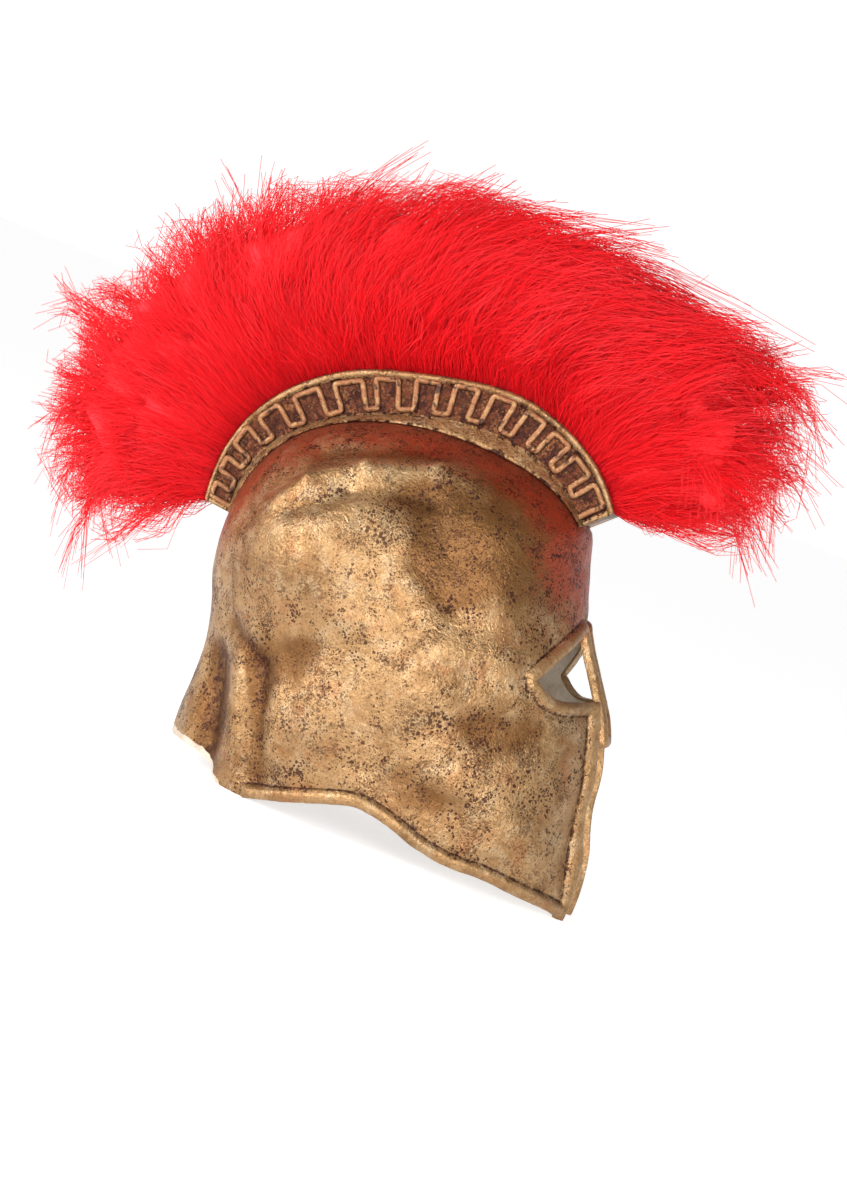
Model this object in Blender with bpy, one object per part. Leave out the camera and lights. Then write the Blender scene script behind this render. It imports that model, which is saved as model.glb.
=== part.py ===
"""Latex costume helmet with an arched crest holder and a long fur plume.

Shapes are worked out in the helmet's own directions as it is worn: forward, side (the
wearer's left is positive) and up. An empty then leans the helmet back until it stands on
its two cheek tips and the two low points of its nape, with its front towards -Y.
"""
import math
from collections import namedtuple

import bmesh
import bpy
import numpy as np
from mathutils import Matrix, Vector

# Driving dimensions, in metres and degrees.
LATEX_WALL = 0.0025
REST_LEAN = 22.25
REST_RISE = 0.1391
REST_BACK = -0.0379
FOOT_FLAT = 0.0012
SEAT_GAP = 0.0003

# Horizontal sections of the shell, from the cheek tips to the crown. Front and rear are
# forward places on the middle plane, widest is where the section is widest, and the
# two roundness values are the powers of the oval's front and rear ends.
Section = namedtuple("Section", "up front rear half_width widest front_power rear_power")
SECTIONS = (
    Section(-0.1900, 0.0858, -0.1600, 0.0530, -0.0100, 2.10, 1.70),
    Section(-0.1700, 0.0902, -0.1600, 0.0650, -0.0120, 2.10, 1.70),
    Section(-0.1500, 0.0908, -0.1600, 0.0760, -0.0140, 2.10, 1.70),
    Section(-0.1300, 0.0945, -0.1590, 0.0845, -0.0160, 2.10, 1.70),
    Section(-0.1100, 0.0985, -0.1570, 0.0890, -0.0180, 2.10, 1.70),
    Section(-0.0900, 0.1005, -0.1535, 0.0915, -0.0180, 2.10, 1.70),
    Section(-0.0750, 0.1018, -0.1500, 0.0928, -0.0180, 2.10, 1.75),
    Section(-0.0600, 0.1020, -0.1445, 0.0940, -0.0180, 2.10, 1.80),
    Section(-0.0450, 0.1005, -0.1375, 0.0952, -0.0180, 2.10, 1.85),
    Section(-0.0300, 0.0978, -0.1315, 0.0960, -0.0180, 2.10, 1.90),
    Section(-0.0150, 0.0960, -0.1268, 0.0964, -0.0180, 2.10, 1.95),
    Section(0.0000, 0.0960, -0.1245, 0.0965, -0.0180, 2.10, 2.00),
    Section(0.0200, 0.0970, -0.1225, 0.0965, -0.0190, 2.10, 2.10),
    Section(0.0400, 0.0978, -0.1175, 0.0935, -0.0200, 2.10, 2.10),
    Section(0.0580, 0.0875, -0.1100, 0.0870, -0.0220, 2.05, 2.10),
    Section(0.0740, 0.0690, -0.1010, 0.0755, -0.0235, 2.00, 2.05),
    Section(0.0870, 0.0450, -0.0895, 0.0600, -0.0255, 2.00, 2.00),
    Section(0.0965, 0.0220, -0.0765, 0.0430, -0.0280, 2.00, 2.00),
    Section(0.1025, 0.0010, -0.0625, 0.0260, -0.0300, 2.00, 2.00),
    Section(0.1055, -0.0160, -0.0480, 0.0110, -0.0310, 2.00, 2.00),
    Section(0.1063, -0.0310, -0.0310, 0.0000, -0.0310, 2.00, 2.00),
)

# Lower edge of the shell round one side: azimuth from the front, and height.
Hem = namedtuple("Hem", "azimuth up")
HEM = (
    Hem(0, -0.1870), Hem(14, -0.1852), Hem(30, -0.1775), Hem(45, -0.1685),
    Hem(58, -0.1575), Hem(69, -0.1500), Hem(78, -0.1395), Hem(85, -0.1270),
    Hem(91, -0.1185), Hem(98, -0.1152), Hem(118, -0.1138), Hem(130, -0.1100),
    Hem(141, -0.0975), Hem(151, -0.0835), Hem(165, -0.0780), Hem(180, -0.0755),
)
RAW_HEM_FROM = 126.0
RAW_HEM_DEPTH = 0.030
HEM_RIM_FROM = 13.0

# The almond eye opening: its upper and lower edge, from the nose outwards.
Lid = namedtuple("Lid", "side up")
EYE_TOP = (
    Lid(0.0000, -0.0195), Lid(0.0100, -0.0200), Lid(0.0140, -0.0212), Lid(0.0280, -0.0262),
    Lid(0.0440, -0.0335), Lid(0.0550, -0.0405), Lid(0.0605, -0.0455),
)
EYE_FLOOR = (
    Lid(0.0130, -0.0585), Lid(0.0300, -0.0585), Lid(0.0430, -0.0580), Lid(0.0500, -0.0565),
    Lid(0.0560, -0.0525), Lid(0.0605, -0.0455),
)

# Half widths down the face, of the slit between the cheek plates and of the nasal bar,
# and how far the bar and the cheek plates' front edges flare forward.
Face = namedtuple("Face", "up slit_half nasal_half nasal_lift cheek_flare")
FACE = (
    Face(-0.1900, 0.0165, 0.0120, 0.0065, -0.0010), Face(-0.1700, 0.0150, 0.0120, 0.0065, 0.0012),
    Face(-0.1500, 0.0138, 0.0120, 0.0065, 0.0055), Face(-0.1330, 0.0140, 0.0120, 0.0065, 0.0028),
    Face(-0.1190, 0.0142, 0.0120, 0.0065, 0.0015), Face(-0.1000, 0.0140, 0.0120, 0.0065, 0.0040),
    Face(-0.0850, 0.0146, 0.0119, 0.0062, 0.0040), Face(-0.0700, 0.0150, 0.0114, 0.0048, 0.0042),
    Face(-0.0600, 0.0155, 0.0106, 0.0028, 0.0045), Face(-0.0500, 0.0155, 0.0098, 0.0014, 0.0040),
    Face(-0.0400, 0.0155, 0.0095, 0.0006, 0.0), Face(-0.0200, 0.0155, 0.0100, 0.0, 0.0),
    Face(0.0000, 0.0155, 0.0100, 0.0, 0.0),
)
FLARE_REACH = 0.0095
FLARE_POWER = 1.3
NASAL_TIP_UP = -0.0855
NASAL_TIP_CORNER = 0.0045
NASAL_TIP_TURN = 0.9

# Raised rim along an edge: distance from the edge, and rise of the outer face.
Rim = namedtuple("Rim", "distance rise")
RIM = (
    Rim(0.0000, 0.0010), Rim(0.0020, 0.0022), Rim(0.0045, 0.0025), Rim(0.0068, 0.0017),
    Rim(0.0084, -0.0004), Rim(0.0110, -0.0003), Rim(0.0150, 0.0000), Rim(1.0000, 0.0000),
)
RIM_LINES = (0.0, 0.0030, 0.0070, 0.0088)

# Soft dents and swellings: place and reach on the flank, turn of the long reach from
# forward towards up, and rise. Flank is 1 for the wearer's left, -1 right, 0 both.
Dent = namedtuple("Dent", "forward up flank long_reach short_reach turn rise")
DENTS = (
    Dent(-0.040, 0.036, 0, 0.042, 0.028, 15, 0.0035),
    Dent(0.022, 0.048, -1, 0.036, 0.015, -58, -0.0045),
    Dent(0.030, 0.040, 1, 0.030, 0.018, -40, -0.0030),
    Dent(-0.063, -0.030, -1, 0.030, 0.020, 30, -0.0035),
    Dent(-0.055, -0.020, 1, 0.034, 0.022, 10, -0.0025),
    Dent(-0.091, -0.058, 0, 0.042, 0.009, 88, 0.0022),
    Dent(-0.112, -0.062, 0, 0.040, 0.012, 80, -0.0035),
    Dent(0.028, -0.118, -1, 0.034, 0.013, -30, -0.0035),
    Dent(0.064, -0.132, 0, 0.030, 0.016, -50, 0.0028),
    Dent(0.010, -0.060, -1, 0.036, 0.022, 60, 0.0030),
    Dent(0.000, -0.070, 1, 0.040, 0.026, 40, 0.0025),
)

# Crest holder: an arch round a centre on the middle plane. Each row gives the angle up
# from forward and the radius of the channel's rim.
CREST_CENTRE = (-0.014, 0.0)
Arch = namedtuple("Arch", "angle rim")
ARCH = (
    Arch(20.0, 0.1378), Arch(32.0, 0.1412), Arch(45.0, 0.1412), Arch(55.0, 0.1400),
    Arch(64.0, 0.1370), Arch(74.0, 0.1335), Arch(84.0, 0.1325), Arch(94.0, 0.1345),
    Arch(106.0, 0.1372), Arch(118.0, 0.1385), Arch(128.0, 0.1380), Arch(138.0, 0.1348),
    Arch(146.0, 0.1308), Arch(152.5, 0.1272),
)
HOLDER_FRONT = 21.0
HOLDER_REAR = 152.4
HOLDER_HALF = 0.0195
HOLDER_FOOT_HALF = 0.0245
CHANNEL_HALF = 0.0165
CHANNEL_FLOOR = 0.0030
HOLDER_END_WALL = 1.5
HOLDER_GAP = 0.0005
KEY_COUNT = 14
KEY_RISE = 0.0019
KEY_LEG = 0.175
KEY_ARCHWAY = 0.41

# Rows up the holder's side, as parts of its height: foot, recessed field, the wave
# line's lower and upper run, and the border.
SideRow = namedtuple("SideRow", "height pattern")
SIDE_ROWS = (
    SideRow(0.00, "foot"), SideRow(0.16, "field"), SideRow(0.20, "low run"),
    SideRow(0.32, "legs"), SideRow(0.68, "high run"), SideRow(0.80, "field"),
    SideRow(0.87, "border"), SideRow(1.00, "rim"),
)

# Plume: where a lock is rooted on the arch, where its tip lies, and how wide it grows.
Lock = namedtuple("Lock", "root tip_forward tip_up half_width")
LOCKS = (
    Lock(22.8, 0.202, 0.030, 0.020), Lock(26.0, 0.222, 0.062, 0.031),
    Lock(31.0, 0.225, 0.100, 0.036), Lock(37.0, 0.203, 0.139, 0.039),
    Lock(44.0, 0.167, 0.164, 0.041), Lock(52.0, 0.131, 0.187, 0.042),
    Lock(60.0, 0.096, 0.209, 0.042), Lock(68.0, 0.060, 0.230, 0.042),
    Lock(77.0, 0.022, 0.238, 0.042), Lock(87.0, -0.020, 0.237, 0.042),
    Lock(97.0, -0.062, 0.243, 0.042), Lock(107.0, -0.104, 0.237, 0.042),
    Lock(116.0, -0.145, 0.221, 0.042), Lock(125.0, -0.181, 0.193, 0.041),
    Lock(133.0, -0.210, 0.160, 0.040), Lock(140.0, -0.225, 0.123, 0.037),
    Lock(146.0, -0.228, 0.084, 0.032), Lock(150.4, -0.215, 0.044, 0.020),
)
LOCK_COUNT = 30
LOCK_NOTCH = 0.10
LOCK_FLUTE = 0.16
LOCK_WANDER = 0.022
LOCK_WANDER_TURN = 2.3
LOCK_BELLY = 0.45
LOCK_ROOT_RISE = 0.0025
BACKING_RISE = 0.0005
# Widths up a lock: how far along it, and part of its full half width.
Stage = namedtuple("Stage", "along width")
LOCK_STAGES = (
    Stage(0.10, 0.66), Stage(0.30, 0.88), Stage(0.55, 1.00), Stage(0.78, 0.80),
    Stage(0.92, 0.48), Stage(1.00, 0.14),
)

CURVE_STEPS = 40
SLOPE_STEP = 0.0004
TURN_STEP = 0.01

# Columns and rows of the shell's patches.
FACE_COLUMNS = 4
FLANK_COLUMNS = 19
BROW_COLUMNS = 5
CHEEK_ROWS = 7
CROWN_ROWS = 10
NASAL_ROWS = 4
NASAL_PARTS = (0.0, 0.35, 0.68, 0.86, 1.0)
WATERLINE_RISE = 0.030
SEARCH_STEPS = 30
SHELL_RADIUS_LEAST = 0.06
SHELL_RADIUS_MOST = 0.16
SHARP_TURN = 40.0


def table_curve(table):
    """Rows of a table joined by a smooth curve, as a dense array."""
    rows = np.array(table, dtype=float)
    before = 2 * rows[0] - rows[1]
    after = 2 * rows[-1] - rows[-2]
    rows = np.vstack([before, rows, after])
    dense = []
    for index in range(1, len(rows) - 2):
        a, b, c, d = rows[index - 1:index + 3]
        for step in range(CURVE_STEPS):
            t = step / CURVE_STEPS
            dense.append(0.5 * (2 * b + (c - a) * t + (2 * a - 5 * b + 4 * c - d) * t ** 2
                                + (3 * b - a - 3 * c + d) * t ** 3))
    dense.append(rows[-2])
    return np.array(dense)


def read_curve(curve, x, column=1):
    """A column of a dense curve at places along its first column."""
    return np.interp(x, curve[:, 0], curve[:, column])


SECTION_CURVE = table_curve(SECTIONS)
HEM_CURVE = table_curve(HEM)
EYE_TOP_CURVE = table_curve(EYE_TOP)
EYE_FLOOR_CURVE = table_curve(EYE_FLOOR)
FACE_CURVE = table_curve(FACE)
ARCH_CURVE = table_curve(ARCH)
LOCK_CURVE = table_curve(LOCKS)
RIM_TABLE = np.array(RIM)
EYE_CORNER = EYE_TOP[-1]


def signed_power(value, power):
    return np.sign(value) * np.abs(value) ** power


def bare_skin(azimuth, up):
    """Points of the undented outer face, as rows of forward, side and up."""
    azimuth, up = np.broadcast_arrays(np.asarray(azimuth, float), np.asarray(up, float))
    front, rear, half, widest, front_power, rear_power = (
        read_curve(SECTION_CURVE, up, column) for column in range(1, 7))
    ahead = np.cos(azimuth) >= 0
    power = 2 / np.where(ahead, front_power, rear_power)
    reach = np.where(ahead, front - widest, widest - rear)
    forward = widest + reach * signed_power(np.cos(azimuth), power)
    side = half * signed_power(np.sin(azimuth), power)
    return np.stack([forward, side, up], axis=-1)


def skin_normal(azimuth, up):
    """Outward directions of the undented face."""
    top = SECTIONS[-1].up
    high = np.minimum(up + SLOPE_STEP, top)
    around = bare_skin(azimuth + TURN_STEP, up) - bare_skin(azimuth - TURN_STEP, up)
    rising = bare_skin(azimuth, high) - bare_skin(azimuth, up - SLOPE_STEP)
    normal = np.cross(around, rising)
    length = np.linalg.norm(normal, axis=-1, keepdims=True)
    flat = (up > top - SLOPE_STEP)[..., None]
    return np.where(flat, (0.0, 0.0, 1.0), normal / np.maximum(length, 1e-12))


def azimuth_of_side(side, up):
    """Azimuth, ahead of the widest place, where the face lies this far to the side."""
    half = read_curve(SECTION_CURVE, up, 3)
    power = read_curve(SECTION_CURVE, up, 5)
    return np.arcsin(np.clip(side / half, 0, 1) ** (power / 2))


def hem_up(azimuth):
    return read_curve(HEM_CURVE, np.degrees(azimuth))


def dent_rise(points):
    """Soft dents and swellings at points of the bare face."""
    rise = np.zeros(points.shape[:-1])
    for dent in DENTS:
        turn = math.radians(dent.turn)
        forward = points[..., 0] - dent.forward
        up = points[..., 2] - dent.up
        along = (forward * math.cos(turn) + up * math.sin(turn)) / dent.long_reach
        across = (up * math.cos(turn) - forward * math.sin(turn)) / dent.short_reach
        hill = dent.rise * np.exp(-along ** 2 - across ** 2)
        flank = np.clip(np.abs(points[..., 1]) / HOLDER_FOOT_HALF - 1, 0, 1)
        if dent.flank:
            flank = np.where(points[..., 1] * dent.flank > 0, flank, 0)
        rise += hill * flank
    return rise


def rimmed_edges():
    """Points every millimetre or so along one side's rimmed edges, on the bare face."""
    hem_azimuth = np.radians(np.linspace(HEM_RIM_FROM, RAW_HEM_FROM, 400))
    lines = [bare_skin(hem_azimuth, hem_up(hem_azimuth))]
    up = np.linspace(HEM[1].up, EYE_FLOOR[0].up, 160)
    lines.append(bare_skin(azimuth_of_side(read_curve(FACE_CURVE, up, 1), up), up))
    for curve, first in ((EYE_FLOOR_CURVE, FACE[-1].slit_half), (EYE_TOP_CURVE, FACE[-1].nasal_half)):
        side = np.linspace(first, EYE_CORNER.side, 90)
        up = read_curve(curve, side)
        lines.append(bare_skin(azimuth_of_side(side, up), up))
    up = np.linspace(NASAL_TIP_UP, EYE_TOP[1].up, 90)
    side = nasal_half(up)
    lines.append(bare_skin(azimuth_of_side(side, up), up))
    side = np.linspace(0, nasal_half(NASAL_TIP_UP), 12)
    lines.append(bare_skin(azimuth_of_side(side, NASAL_TIP_UP), NASAL_TIP_UP))
    return np.vstack(lines)


def nasal_half(up):
    """Half width of the nasal bar, rounded off at its tip."""
    half = read_curve(FACE_CURVE, up, 2)
    near_tip = np.clip((NASAL_TIP_UP + NASAL_TIP_CORNER - up) / NASAL_TIP_CORNER, 0, 1)
    return half - NASAL_TIP_CORNER * (1 - np.sqrt(1 - near_tip ** 2 * NASAL_TIP_TURN))


EDGE_POINTS = rimmed_edges()


def rim_rise(points):
    """Rise of the raised rim at points of the bare face."""
    mirrored = points * (1, 0, 1) + np.abs(points) * (0, 1, 0)
    flat = mirrored.reshape(-1, 3)
    distance = np.array([np.sqrt(((EDGE_POINTS - p) ** 2).sum(axis=1).min()) for p in flat])
    return np.interp(distance, RIM_TABLE[:, 0], RIM_TABLE[:, 1]).reshape(points.shape[:-1])


def cheek_flare(points):
    """How far the cheek plates lean forward along the slit between them."""
    up = points[..., 2]
    beside = np.abs(points[..., 1]) - read_curve(FACE_CURVE, up, 1)
    part = np.clip(1 - beside / FLARE_REACH, 0, 1)
    below_eye = (up < EYE_FLOOR[0].up + SLOPE_STEP) & (points[..., 0] > 0)
    return np.where(below_eye, read_curve(FACE_CURVE, up, 4) * part ** FLARE_POWER, 0)


def shell_faces(azimuth, up, on_nasal):
    """Outer and inner points of the shell wall for arrays of azimuth and height."""
    bare = bare_skin(azimuth, up)
    normal = skin_normal(azimuth, up)
    lift = np.where(on_nasal, read_curve(FACE_CURVE, up, 3), cheek_flare(bare))
    soft = dent_rise(bare)
    at_rear = np.abs(azimuth) > math.radians(RAW_HEM_FROM)
    raw = at_rear & (up < hem_up(np.abs(azimuth)) + RAW_HEM_DEPTH)
    rise = np.where(raw, 0, rim_rise(bare))
    moved = bare + lift[..., None] * (1, 0, 0)
    outer = moved + normal * (soft + rise)[..., None]
    inner = moved + normal * (soft - LATEX_WALL)[..., None]
    return outer, inner


class HalfGrid:
    """Corner points and faces of one half of the shell, shared where patches meet."""

    def __init__(self):
        self.azimuth = []
        self.up = []
        self.on_nasal = []
        self.faces = []
        self.names = {}

    def corner(self, azimuth, up, on_nasal=False):
        name = (round(azimuth, 6), round(up, 7))
        if name not in self.names:
            self.names[name] = len(self.up)
            self.azimuth.append(azimuth)
            self.up.append(up)
            self.on_nasal.append(on_nasal)
        return self.names[name]

    def patch(self, columns):
        """Quads between neighbouring columns of corners, triangles where two coincide."""
        for left, right in zip(columns, columns[1:]):
            for low in range(len(left) - 1):
                ring = [left[low], right[low], right[low + 1], left[low + 1]]
                face = [c for i, c in enumerate(ring) if c != ring[i - 1]]
                if len(face) > 2:
                    self.faces.append(face)


def spread(first, last, count):
    """Evenly spaced values from first to last, without the first."""
    return [first + (last - first) * step / count for step in range(1, count + 1)]


CORNER_AZIMUTH = float(azimuth_of_side(EYE_CORNER.side, EYE_CORNER.up))
FLANK_AZIMUTHS = spread(CORNER_AZIMUTH, math.pi, FLANK_COLUMNS)


def waterline_up(azimuth):
    """Height where the cheek and crown patches meet, behind the eye."""
    part = (azimuth - CORNER_AZIMUTH) / (math.pi - CORNER_AZIMUTH)
    return EYE_CORNER.up + WATERLINE_RISE * part ** 2


def slope_factor(curve, azimuth, up):
    """How much longer a vertical step must be to cross a sloping edge at right angles."""
    here = bare_skin(azimuth - TURN_STEP, up)
    there = bare_skin(azimuth + TURN_STEP, up)
    run = np.linalg.norm(there - here)
    rise = float(curve(azimuth + TURN_STEP) - curve(azimuth - TURN_STEP))
    return math.hypot(1.0, rise / max(run, 1e-6))


def cheek_column(azimuth_at, top):
    """Heights and azimuths up one column of the cheek patch."""
    bottom = HEM[5].up
    for _ in range(SEARCH_STEPS):
        bottom = float(hem_up(azimuth_at(bottom)))
    stretch = slope_factor(hem_up, azimuth_at(bottom), bottom)
    low = [bottom + line * stretch for line in RIM_LINES]
    high = [top - line for line in reversed(RIM_LINES)]
    heights = low + spread(low[-1], high[0], CHEEK_ROWS) + high[1:]
    return [(azimuth_at(up), up) for up in heights]


def add_cheek(grid):
    """The patch below the eye and the waterline, from the slit round to the nape."""
    def rim_azimuth(line):
        def at(up):
            return float(azimuth_of_side(read_curve(FACE_CURVE, up, 1) + line, up))
        return at

    def blended(part):
        edge = rim_azimuth(RIM_LINES[-1])

        def at(up):
            return edge(up) * (1 - part) + CORNER_AZIMUTH * part
        return at

    columns = []
    for line in RIM_LINES:
        columns.append(cheek_column(rim_azimuth(line), EYE_FLOOR[0].up))
    for part in spread(0.0, 1.0, FACE_COLUMNS):
        at = blended(part)
        top = EYE_CORNER.up
        for _ in range(SEARCH_STEPS):
            side = float(bare_skin(at(top), top)[1])
            top = float(read_curve(EYE_FLOOR_CURVE, min(side, EYE_CORNER.side)))
        columns.append(cheek_column(at, top))
    for azimuth in FLANK_AZIMUTHS:
        columns.append(cheek_column(lambda up, a=azimuth: a, waterline_up(azimuth)))
    grid.patch([[grid.corner(*place) for place in column] for column in columns])


def crown_column(azimuth, bottom):
    """Heights from the brow or the waterline to the top of the crown."""
    low = [bottom + line for line in RIM_LINES]
    rows = np.arange(len(SECTION_CURVE))
    start = np.interp(low[-1], SECTION_CURVE[:, 0], rows)
    heights = [float(np.interp(r, rows, SECTION_CURVE[:, 0]))
               for r in spread(start, rows[-1], CROWN_ROWS)]
    return [(azimuth, up) for up in low + heights]


def add_crown(grid):
    """The patch above the brow and the waterline, closed at the top of the crown."""
    junction = EYE_TOP[1].up
    columns = []
    for part in NASAL_PARTS:
        azimuth = float(azimuth_of_side(part * nasal_half(junction), junction))
        columns.append(crown_column(azimuth, junction))
    first = columns[-1][0][0]
    for azimuth in spread(first, CORNER_AZIMUTH, BROW_COLUMNS):
        up = EYE_CORNER.up
        for _ in range(SEARCH_STEPS):
            side = float(bare_skin(azimuth, up)[1])
            up = float(read_curve(EYE_TOP_CURVE, min(side, EYE_CORNER.side)))
        if azimuth == CORNER_AZIMUTH:
            up = EYE_CORNER.up
        columns.append(crown_column(azimuth, up))
    for azimuth in FLANK_AZIMUTHS:
        columns.append(crown_column(azimuth, waterline_up(azimuth)))
    top = grid.corner(math.pi, SECTIONS[-1].up)
    grid.patch([[grid.corner(*place) for place in column[:-1]] + [top] for column in columns])


def add_nasal(grid):
    """The bar that hangs from the brow between the eye openings."""
    junction = EYE_TOP[1].up
    tip = [NASAL_TIP_UP + line for line in RIM_LINES]
    heights = tip + spread(tip[-1], junction, NASAL_ROWS)
    columns = []
    for part in NASAL_PARTS:
        column = []
        for up in heights:
            azimuth = float(azimuth_of_side(part * nasal_half(up), up))
            column.append(grid.corner(azimuth, up, up < junction - 1e-6))
        columns.append(column)
    grid.patch(columns)


def close_wall(outer, inner, faces):
    """Join an outer and an inner sheet into one closed wall along their free edges."""
    count = len(outer)
    used = {}
    for face in faces:
        for a, b in zip(face, face[1:] + face[:1]):
            used[(a, b)] = True
    walls = list(faces)
    walls += [[corner + count for corner in reversed(face)] for face in faces]
    walls += [[b, a, a + count, b + count] for a, b in used if (b, a) not in used]
    return np.vstack([outer, inner]), walls


def helmet_matrix():
    """The empty's placing: lean back about the side axis, then up onto the ground."""
    lean = Matrix.Rotation(-math.radians(REST_LEAN), 4, "X")
    return Matrix.Translation((0.0, REST_BACK, REST_RISE)) @ lean


def to_local(points):
    """Helmet directions to the empty's X, Y and Z: side, back and up."""
    return np.stack([points[..., 1], -points[..., 0], points[..., 2]], axis=-1)


def flatten_feet(local):
    """Press whatever would sink into the ground flat onto it."""
    placing = np.array(helmet_matrix())
    world = local @ placing[:3, :3].T + placing[:3, 3]
    world[:, 2] = np.where(world[:, 2] < FOOT_FLAT, 0.0, world[:, 2])
    return (world - placing[:3, 3]) @ placing[:3, :3]


def make_material(name, colour, roughness, metallic):
    material = bpy.data.materials.new(name)
    material.use_nodes = True
    shader = material.node_tree.nodes["Principled BSDF"]
    shader.inputs["Base Color"].default_value = (*colour, 1.0)
    shader.inputs["Roughness"].default_value = roughness
    shader.inputs["Metallic"].default_value = metallic
    return material


def make_object(name, local, faces, material, parent):
    mesh = bpy.data.meshes.new(name)
    mesh.from_pydata([tuple(p) for p in local], [], faces)
    shape = bmesh.new()
    shape.from_mesh(mesh)
    bmesh.ops.recalc_face_normals(shape, faces=shape.faces)
    if shape.calc_volume(signed=True) < 0:
        bmesh.ops.reverse_faces(shape, faces=shape.faces)
    shape.to_mesh(mesh)
    shape.free()
    mesh.shade_smooth()
    mesh.set_sharp_from_angle(angle=math.radians(SHARP_TURN))
    mesh.materials.append(material)
    made = bpy.data.objects.new(name, mesh)
    made.parent = parent
    bpy.context.scene.collection.objects.link(made)
    return made


def make_shell(parent, material):
    grid = HalfGrid()
    add_cheek(grid)
    add_crown(grid)
    add_nasal(grid)
    azimuth = np.array(grid.azimuth)
    up = np.array(grid.up)
    on_nasal = np.array(grid.on_nasal)
    count = len(up)
    middle = (azimuth < 1e-6) | (azimuth > math.pi - 1e-6)
    mirror = np.arange(count)
    mirror[~middle] = count + np.arange(int((~middle).sum()))
    faces = list(grid.faces)
    faces += [[int(mirror[c]) for c in reversed(face)] for face in grid.faces]
    both_azimuth = np.concatenate([azimuth, -azimuth[~middle]])
    both_up = np.concatenate([up, up[~middle]])
    both_nasal = np.concatenate([on_nasal, on_nasal[~middle]])
    outer, inner = shell_faces(both_azimuth, both_up, both_nasal)
    on_middle = np.concatenate([middle, np.zeros(int((~middle).sum()), bool)])
    outer[on_middle, 1] = 0
    inner[on_middle, 1] = 0
    points, walls = close_wall(outer, inner, faces)
    return make_object("helmet_shell", flatten_feet(to_local(points)), walls, material, parent)


def shell_radius(angle, side):
    """Radius from the crest's centre to the bare crown, along an angle at one side."""
    low = np.full(np.shape(angle), SHELL_RADIUS_LEAST)
    high = np.full(np.shape(angle), SHELL_RADIUS_MOST)
    for _ in range(SEARCH_STEPS):
        radius = (low + high) / 2
        forward = CREST_CENTRE[0] + radius * np.cos(angle)
        up = CREST_CENTRE[1] + radius * np.sin(angle)
        front, rear, half, widest, front_power, rear_power = (
            read_curve(SECTION_CURVE, up, column) for column in range(1, 7))
        ahead = forward >= widest
        power = np.where(ahead, front_power, rear_power)
        reach = np.maximum(np.where(ahead, front - widest, widest - rear), 1e-6)
        oval = (np.abs(forward - widest) / reach) ** power
        oval += (np.abs(side) / np.maximum(half, 1e-6)) ** power
        outside = (oval > 1) | (up > SECTIONS[-1].up)
        high = np.where(outside, radius, high)
        low = np.where(outside, low, radius)
    return (low + high) / 2


def arch_point(angle, radius, side):
    forward = CREST_CENTRE[0] + radius * math.cos(angle)
    up = CREST_CENTRE[1] + radius * math.sin(angle)
    return (forward, side, up)


def key_columns():
    """Angles of the relief's columns and, for each gap between them, what it crosses."""
    between = 1 - KEY_ARCHWAY - 2 * KEY_LEG
    pitch = (HOLDER_REAR - HOLDER_FRONT - 2 * HOLDER_END_WALL) / (KEY_COUNT - between)
    angles = [HOLDER_FRONT, HOLDER_FRONT + HOLDER_END_WALL]
    kinds = ["end"]
    parts = (("leg", KEY_LEG), ("archway", KEY_ARCHWAY), ("leg", KEY_LEG), ("between", between))
    for key in range(KEY_COUNT):
        for kind, part in parts:
            if key == KEY_COUNT - 1 and kind == "between":
                continue
            angles.append(angles[-1] + pitch * part)
            kinds.append(kind)
    angles.append(HOLDER_REAR)
    kinds.append("end")
    return [math.radians(a) for a in angles], kinds


def is_raised(kind, pattern):
    """Whether a cell of the holder's side belongs to the raised line or its border."""
    if pattern == "foot":
        return False
    if pattern == "border" or kind == "end":
        return True
    if pattern == "legs":
        return kind == "leg"
    if pattern == "high run":
        return kind in ("leg", "archway")
    if pattern == "low run":
        return kind in ("leg", "between")
    return False


class Solid:
    """Points and faces of a body, with points shared by name."""

    def __init__(self):
        self.points = []
        self.faces = []
        self.names = {}

    def point(self, name, place):
        if name not in self.names:
            self.names[name] = len(self.points)
            self.points.append(place)
        return self.names[name]


def holder_levels(angle):
    """Radii of the side's rows at one angle, from the foot to the rim."""
    foot = float(shell_radius(angle, HOLDER_FOOT_HALF)) + HOLDER_GAP
    rim = float(read_curve(ARCH_CURVE, math.degrees(angle)))
    return [foot + (rim - foot) * row.height for row in SIDE_ROWS]


def add_holder_side(solid, flank, angles, kinds):
    """One side of the holder: a field of cells, some raised, with walls between."""
    rows = len(SIDE_ROWS) - 1
    levels = [holder_levels(angle) for angle in angles]
    raised = [[is_raised(kind, SIDE_ROWS[row].pattern) for row in range(rows)] for kind in kinds]

    def corner(column, row, high):
        half = HOLDER_FOOT_HALF if row == 0 else HOLDER_HALF + KEY_RISE * high
        name = ("side", flank, column, row, bool(high) and row > 0)
        return solid.point(name, arch_point(angles[column], levels[column][row], flank * half))

    for column in range(len(kinds)):
        for row in range(rows):
            high = raised[column][row]
            solid.faces.append([corner(column, row, high), corner(column + 1, row, high),
                                corner(column + 1, row + 1, high), corner(column, row + 1, high)])
            if row and raised[column][row - 1] != high:
                low_edge = [corner(column, row, False), corner(column + 1, row, False)]
                high_edge = [corner(column + 1, row, True), corner(column, row, True)]
                solid.faces.append(low_edge + high_edge)
            if column and raised[column - 1][row] != high:
                ring = [corner(column, row, False), corner(column, row + 1, False),
                        corner(column, row + 1, True), corner(column, row, True)]
                solid.faces.append([c for i, c in enumerate(ring) if c != ring[i - 1]])
    return corner


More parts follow.
